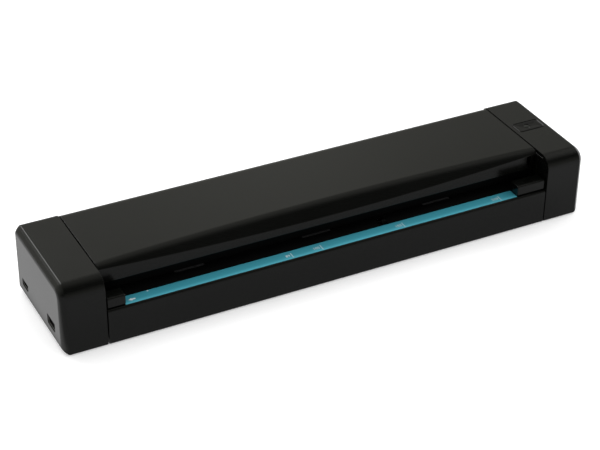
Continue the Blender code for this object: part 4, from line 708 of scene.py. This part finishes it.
def cover_sections(x):
    """The cover's wall at places along X: hook, roof, roll-over edge, lip, and back along the inside.

    The roll-over slopes down at ROLL_ANGLE to the lip's upper edge, which is barely rounded, so the
    lower that edge is, the further back the roof bends.
    """
    crease, one = crease_height(x), np.ones_like(x)
    bend = LIP_Y + (TOP - crease) / math.tan(math.radians(ROLL_ANGLE))
    corners = [(HINGE[0], TOP), (bend, TOP), (LIP_Y, crease), (LIP_Y, LIP_Z), (LIP_Y + WALL, LIP_Z)]
    corners += [(LIP_Y + WALL, crease - WALL / 2), (INNER_Y, CEILING), (HINGE[0], CEILING)]
    corners = np.stack([np.stack([y * one, z * one], axis=-1) for y, z in corners], axis=1)
    soft = np.clip(np.hypot(bend - LIP_Y, TOP - crease) - 0.5, 0.1, ROLL_TOUCH)
    touch = np.stack([one * t for t in (0.1, soft, 0.3, 0.2, 0.2, 0.5, 0.5, 0.1)], axis=1)
    front = fillet(corners, touch)[:, 7:-7]
    outer, inner = arc_points(HINGE, HOOK, -60, 90, 25), arc_points(HINGE, HOOK - WALL, 90, -60, 17)
    hooks = [np.broadcast_to(hook, (len(x), *hook.shape)) for hook in (outer, inner)]
    return np.concatenate([hooks[0], front, hooks[1]], axis=1)


stations = np.linspace(-SKIN_X, SKIN_X, 121)
places, insets = eased(-SKIN_X, SKIN_X, 0.08)
x_all = np.concatenate([places[:4], stations[1:-1], places[4:]])
inset_all = np.concatenate([insets[:4], np.zeros(len(stations) - 2), insets[4:]])
sections = drawn_in(cover_sections(x_all), inset_all[:, None, None])
grid = np.concatenate([np.broadcast_to(x_all[:, None, None], (*sections.shape[:2], 1)), sections], axis=-1)
cover = put("cover_shell", clean(grid_mesh("cover_shell", grid)))
print("cover stations:", grid.shape)

# %% [markdown]
# Inside the shell stand an end wall at each side, which carries the hinge pin and the pinch rollers' ends,
# and three ribs that press on the upper sensor. A notch in the lip's right end takes a fingernail.

# %% Cover walls and notch
CHEEK_Y, CHEEK_Z, SUNK, GRAZE = -18.8, 21.3, 0.4, 0.011 * MM
NOTCH_X, NOTCH_DEPTH = 117.6, 2.6
RIB_XS, RIB_HALF, RIB_BACK, RIB_FOOT = (-82.8, -3.6, 75.6), 0.8, 9, 30.1


def cheek(side):
    """The cover's end wall: down from the roof to just above the paper, with three round holes."""
    outline = arc_points(HINGE, 5.0, -70, 80, 12).tolist()
    front = LIP_Y + WALL - SUNK
    outline += [(INNER_Y, CEILING + SUNK), (front, crease_height(SKIN_X) - WALL / 2 + SUNK), (front, LIP_Z + 0.5)]
    outline += [(CHEEK_Y, LIP_Z + 0.5), (CHEEK_Y, CHEEK_Z), (HINGE[0], CHEEK_Z)]
    start, end = side * (SKIN_X - WALL), side * (SKIN_X - 0.2)
    wall = bar("cheek", np.array(outline), "x", start, end)
    span = (side * (SKIN_X - WALL - 1), side * (SKIN_X + 1))
    holes = ((HINGE, PIN_BORE), ((FEED_Y, PINCH_Z), 1.3), ((EXIT_Y, PINCH_Z), 1.3))
    return carve(wall, *[round_bar("bore", place, radius, "x", *span, 33) for place, radius in holes])


ribs = [brick("rib", (x - RIB_HALF, 0, RIB_FOOT), (x + RIB_HALF, RIB_BACK, CEILING + SUNK)) for x in RIB_XS]
carve(cover, cheek(-1), cheek(1), *ribs, operation="UNION")
notch_high = (SKIN_X + 1, LIP_Y + WALL + 0.3, TOP - NOTCH_DEPTH)
carve(cover, brick("notch", (NOTCH_X, LIP_Y - 1, LIP_Z - 1), notch_high))
carve(cover, *[round_bar("bore", HINGE, PIN_BORE, "x", side * 120, side * 125, 33) for side in (-1, 1)])
# The cheeks graze the fillet under the roof, and the cuts leave slivers there that this weld closes
clean(cover.data, GRAZE)
dress(cover, "cover", SHELL, "shell_black", "top_cover")

# %% [markdown]
# ## The lower housing
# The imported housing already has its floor, walls, end plates and posts, so a copy of it is welded and
# shaded smoothly instead of being drawn again.

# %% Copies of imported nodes


def welded_copy(node, name):
    """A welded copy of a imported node's mesh, as a piece of its own."""
    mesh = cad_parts[node].data.copy()
    mesh.name = name
    return put(name, clean(mesh, 0.001 * MM))


housing = welded_copy("lower_housing", "housing_shell")
dress(housing, "base", SHELL, "shell_black", "lower_housing")

# %% [markdown]
# ## Feed strip, marks and edge guides
# The strip is a thin tinted plate let into the flange. Its marks show where sheets of common widths reach,
# in millimetres from the left guide, and an arrow shows that the sheet's left edge goes to the left.

# %% Strip
STRIP_LOW, STRIP_HIGH = (-113.6, -30.9, 19.4), (106.4, -24.3, 19.8)
plate = rounded_outline(STRIP_LOW[1:], STRIP_HIGH[1:], [0.05, 0.05, 0.12, 0.12], 5)
strip = eased_bar("strip_plate", plate, "x", STRIP_LOW[0], STRIP_HIGH[0], 0.04)
dress(strip, "base", STRIP, "strip_blue", "feed_strip")

# %% Printed marks


def printed(name, outlines, level=STRIP_HIGH[2], sunk=0.01, thickness=0.03):
    """A thin printed film: flat outlines in X and Y with a little thickness, merged into one mesh."""
    flats = [np.array(outline, dtype=float) for outline in outlines]
    parts = [bar("film", flat, "z", level - sunk, level + thickness) for flat in flats]
    grid = bmesh.new()
    for part in parts:
        grid.from_mesh(part.data)
        bpy.data.objects.remove(part, do_unlink=True)
    mesh = bpy.data.meshes.new(name)
    grid.to_mesh(mesh)
    grid.free()
    return put(name, mesh)


def box_outline(x, y, width, height):
    """A rectangle's corners in X and Y."""
    return [(x, y), (x + width, y), (x + width, y + height), (x, y + height)]


def number_mesh(text, x, y, height):
    """A plain number as a thin film, its right end at x and its foot at y."""
    curve = bpy.data.curves.new(text, "FONT")
    curve.body, curve.size, curve.extrude = text, height * MM, 0.015 * MM
    curve.align_x, curve.resolution_u = "RIGHT", 3
    letters = put("number_" + text, curve)
    view = bpy.context.evaluated_depsgraph_get()
    mesh = bpy.data.meshes.new_from_object(letters.evaluated_get(view))
    bpy.data.objects.remove(letters, do_unlink=True)
    mesh.transform(Matrix.Translation(Vector((x, y, STRIP_HIGH[2] + 0.012)) * MM))
    return clean(mesh, 0.0005 * MM)


WIDTH_MARKS = {"89": -24.0, "105": -7.5, "152": 39.5, "210": 97.3}
TICK_WIDTH, TICK_LENGTH, TICK_Y = 0.28, 4.0, -30.3
ARROW_TIP, HEAD_LENGTH, HEAD_HALF, SHAFT_LENGTH, SHAFT_HALF = (-111.2, -28.2), 1.8, 1.1, 1.8, 0.5


def arrow_outline():
    """An arrow that points to the left: a triangular head and a straight shaft."""
    x, y = ARROW_TIP
    neck, tail = x + HEAD_LENGTH, x + HEAD_LENGTH + SHAFT_LENGTH
    low = [(neck, y - HEAD_HALF), (neck, y - SHAFT_HALF), (tail, y - SHAFT_HALF)]
    return [ARROW_TIP, *low, (tail, y + SHAFT_HALF), (neck, y + SHAFT_HALF), (neck, y + HEAD_HALF)]


ticks = [box_outline(x - TICK_WIDTH / 2, TICK_Y, TICK_WIDTH, TICK_LENGTH) for x in WIDTH_MARKS.values()]
ticks += [box_outline(-100.4, -25.4, 0.8, 0.7), arrow_outline()]
marks = printed("width_ticks", ticks)
dress(marks, "base", PRINT, "strip_blue")
for text, x in WIDTH_MARKS.items():
    number = put("width_" + text, number_mesh(text, x - 0.9, -28.9, 2.5))
    dress(number, "base", PRINT, "strip_blue")

# %% [markdown]
# A block at each end of the strip guides the sheet. Its long edges are rounded by different amounts: the
# top front edge is soft, and the lower front edge is undercut where it meets the flange.

# %% Edge guides


def edge_guide(name, node, start, end):
    """One guide block: its rounded outline in Y and Z carried along X, with eased ends."""
    outline = rounded_outline((-31.4, 20.1), (-24.3, 25.8), [0.8, 0.3, 0.6, 0.9], 7)
    block = eased_bar(name, outline, "x", start, end, 0.45)
    return dress(block, "base", SHELL, "shell_black", node)


edge_guide("left_guide_block", "left_edge_guide", -122.95, -113.6)
edge_guide("right_guide_block", "right_edge_guide", 106.4, 122.95)

# %% [markdown]
# ## The scan button
# The button is a glossier cap than the shell. Its rim is rounded, its top is a very shallow dish for the
# fingertip, and a round smoked window with a raised ring shows the light beneath.

# %% Button and window
WINDOW = (133.05, 3.0)
BUTTON_EDGE = 0.45


def button_rings(gap=0.25, dish=0.12):
    """The button's rings from its foot to the middle of its top.

    Outside, the rim follows a quarter circle of BUTTON_EDGE. Inside the rim the top sinks as dish times
    (1 - cos of the way in) / 2, so that the middle lies lowest.
    """
    path = [(0, 34.9), (0, TOP - BUTTON_EDGE)]
    for turn in np.radians(np.linspace(15, 90, 6)):
        path.append((BUTTON_EDGE * (1 - math.cos(turn)), TOP - BUTTON_EDGE * (1 - math.sin(turn))))
    for way in np.linspace(0.12, 1, 8):
        path.append((BUTTON_EDGE + 3.4 * way, TOP - dish * (1 - math.cos(math.pi * way)) / 2))
    return np.stack([carried(button_outline(-gap - inset), "z", [z])[0] for inset, z in path])


button = put("button_cap", clean(grid_mesh("button_cap", button_rings())))
flange = brick("flange", (127.4, -2.3, 35.4), (140.1, 8.3, 36.2))
stem = round_bar("stem", BUTTON, 1.6, "z", 34.5, 36.0, 33)
carve(button, flange, stem, operation="UNION")
carve(button, round_bar("window_seat", WINDOW, 2.2, "z", 36.9, TOP + 1, 49))
dress(button, "button", GLOSS, "shell_black", "scan_button")


def turned_rings(profile, centre, count=49):
    """A profile of (radius, height) pairs turned about an upright line: one ring for each pair."""
    circles = [(arc_points(centre, radius, 0, 360, count)[:-1], z) for radius, z in profile]
    return np.stack([carried(circle, "z", [z])[0] for circle, z in circles])


ring_profile = [(2.15, 37.2), (2.15, 38.15), (2.08, 38.25), (1.95, 38.29)]
ring_profile += [(1.82, 38.25), (1.75, 38.12), (1.75, 37.2)]
ring = put("window_ring", clean(grid_mesh("window_ring", turned_rings(ring_profile, WINDOW))))
dress(ring, "button", GLOSS, "shell_black")
lens_profile = [(1.72, 37.2), (1.72, 37.95), (1.6, 38.05), (1.2, 38.13), (0.7, 38.18), (0.2, 38.2)]
lens = put("window_lens", clean(grid_mesh("window_lens", turned_rings(lens_profile, WINDOW))))
dress(lens, "button", LENS_CLEAR, "window_clear", "button_window")

# %% [markdown]
# ## The sockets
# Each socket is a folded steel shell with a plastic tongue and a row of thin gilt contacts. The shell is a
# tube with the socket's outline, closed at its back.

# %% Sockets
SOCKET_X, SHEET, LIP_STEP = -146.2, 0.35, 0.08
CONTACTS, CONTACT_X, CONTACT_LENGTH, CONTACT_WIDTH = 5, -145.6, 3.4, 0.32


def socket_shell(name, depth):
    """A folded shell: rings along the outside from back to mouth, round the lip, and back inside."""
    back, rim = SOCKET_X + depth, SOCKET_X + 0.1
    path = [(0.0, back), (0.0, rim), (-LIP_STEP, SOCKET_X), (LIP_STEP - SHEET, SOCKET_X)]
    path += [(-SHEET, rim), (-SHEET, back - 1.0)]
    rings = [carried(socket_outline(name, grow), "x", [x])[0] for grow, x in path]
    return put(name + "_shell", clean(grid_mesh(name + "_shell", np.stack(rings))))


def contact(y, z):
    """One gilt contact: a flat strip that stands a little out of the tongue on both sides."""
    flat = np.array(box_outline(CONTACT_X, y - CONTACT_WIDTH / 2, CONTACT_LENGTH, CONTACT_WIDTH))
    return bar("contact", flat, "z", z - 0.04, z + 0.06)


for name, depth in (("data_socket", 6.4), ("power_socket", 8.6)):
    shell = socket_shell(name, depth)
    dress(shell, "base", DARK_NICKEL, "steel", name)
    y, z, width, height = SOCKETS[name]
    tongue_low, tongue_high = (y - width * 0.36, z + 0.02), (y + width * 0.36, z + height * 0.20)
    tongue = rounded_outline(tongue_low, tongue_high, [0.12] * 4, 4)
    block = eased_bar(name + "_tongue", tongue, "x", SOCKET_X + depth - 0.9, SOCKET_X + 0.45, 0.1)
    dress(block, "base", INSIDE_BLACK_AND_SHADE, "inner_black")
    pitch = width * 0.6 / CONTACTS
    contacts, *others = [contact(y + (k - CONTACTS // 2) * pitch, z) for k in range(CONTACTS)]
    carve(contacts, *others, operation="UNION")
    contacts.name = name + "_contacts"
    dress(contacts, "base", GOLD, "bronze")

# %% [markdown]
# ## Feet and rollers
# The feet are rubber discs with a rounded rim. The driven rollers are rubber sleeves with fine grooves
# across their faces, which give the sheet a grip.

# %% Feet
foot_profile = [(4.2, 0.7), (5.0, 0.7), (5.0, 0.30), (4.9, 0.10), (4.65, 0.02), (4.3, 0.0)]
foot_profile += [(3.4, 0.0), (3.2, 0.12), (1.0, 0.12)]
for i in (1, 2, 3, 4):
    low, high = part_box(f"foot_{i}")
    middle = (low + high) / 2 / MM
    foot = put(f"rubber_foot_{i}", clean(grid_mesh("foot", turned_rings(foot_profile, middle.xy))))
    dress(foot, "base", RUBBER, "rubber_grey", f"foot_{i}")

# %% Rollers


def roller_rings(y, start, end, radius=5.5, bore=2.0, grooves=11, depth=0.16):
    """A sleeve about the shaft's line: radius minus depth times a smooth groove, with eased ends.

    The groove is (1 + cos(2 pi k u)) / 2 raised to the fourth power, where u runs from 0 to 1 along the
    sleeve, so the lands are wide and the grooves narrow.
    """
    u = np.linspace(0, 1, grooves * 8 + 1)
    cut = depth * ((1 + np.cos(2 * np.pi * grooves * u)) / 2) ** 4
    outer = [(start + (end - start) * a, radius - c) for a, c in zip(u, cut)]
    path = [(start, bore), (start, radius - 0.5)] + outer[1:-1] + [(end, radius - 0.5), (end, bore)]
    rings = [carried(arc_points((y, SHAFT_Z), r, 0, 360, 65)[:-1], "x", [x])[0] for x, r in path]
    return np.stack(rings + rings[:1])


for word, y in (("feed", FEED_Y), ("exit", EXIT_Y)):
    for i in (1, 2, 3):
        low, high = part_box(f"{word}_roller_{i}")
        sleeve = clean(grid_mesh("sleeve", roller_rings(y, low.x / MM, high.x / MM), ends=False))
        piece = put(f"{word}_sleeve_{i}", sleeve)
        dress(piece, f"{word}_drive", RUBBER, "rubber_grey", f"{word}_roller_{i}")

# %% [markdown]
# ## Finishes for the imported pieces
# The pieces inside the case already have their real shapes in the imported model. Each keeps its mesh and
# gets a finish. The pinch rollers, white in the model, and the other parts in the paper's mouth get the near-black
# inside finish, which paints the mouth's shade into them.

# %% Imported pieces
PACKED = {
    "lower_guide_plate": INSIDE_BLACK_AND_SHADE, "upper_guide_plate": INSIDE_BLACK_AND_SHADE,
    "lower_sensor_bar": INSIDE_BLACK_AND_SHADE, "upper_sensor_bar": INSIDE_BLACK_AND_SHADE,
    "lower_sensor_glass": GLASS, "upper_sensor_glass": GLASS,
    "feed_shaft": STEEL, "exit_shaft": STEEL,
    "feed_gear": ACETAL, "exit_gear": ACETAL, "idler_gear": ACETAL,
    "motor_pinion": BRONZE, "drive_motor": PLATED, "gear_plate": PLATE_ZINC,
    "feed_bush_left": BRONZE, "feed_bush_right": BRONZE,
    "exit_bush_left": BRONZE, "exit_bush_right": BRONZE,
    # The pinch rollers are white in the model; this near-black paints the mouth's shade into them.
    "front_pinch_roller": INSIDE_BLACK_AND_SHADE, "rear_pinch_roller": INSIDE_BLACK_AND_SHADE,
    "front_pinch_spring": PLATED, "rear_pinch_spring": PLATED,
    "left_hinge_pin": STEEL, "right_hinge_pin": STEEL,
    "paper_flag": INSIDE_BLACK_AND_SHADE, "main_board": LACQUER, "button_board": LACQUER, "button_switch": INSIDE_BLACK_AND_SHADE,
    "sensor_ribbon": FLEX, "cover_lead": FLEX, "board_lead": LEAD,
    "case_screw_1": PLATED, "case_screw_2": PLATED, "case_screw_3": PLATED, "case_screw_4": PLATED,
}
for node, look in PACKED.items():
    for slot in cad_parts[node].material_slots:
        slot.material = look
print("packed pieces finished:", len(PACKED))

# %% Size and end
low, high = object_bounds()
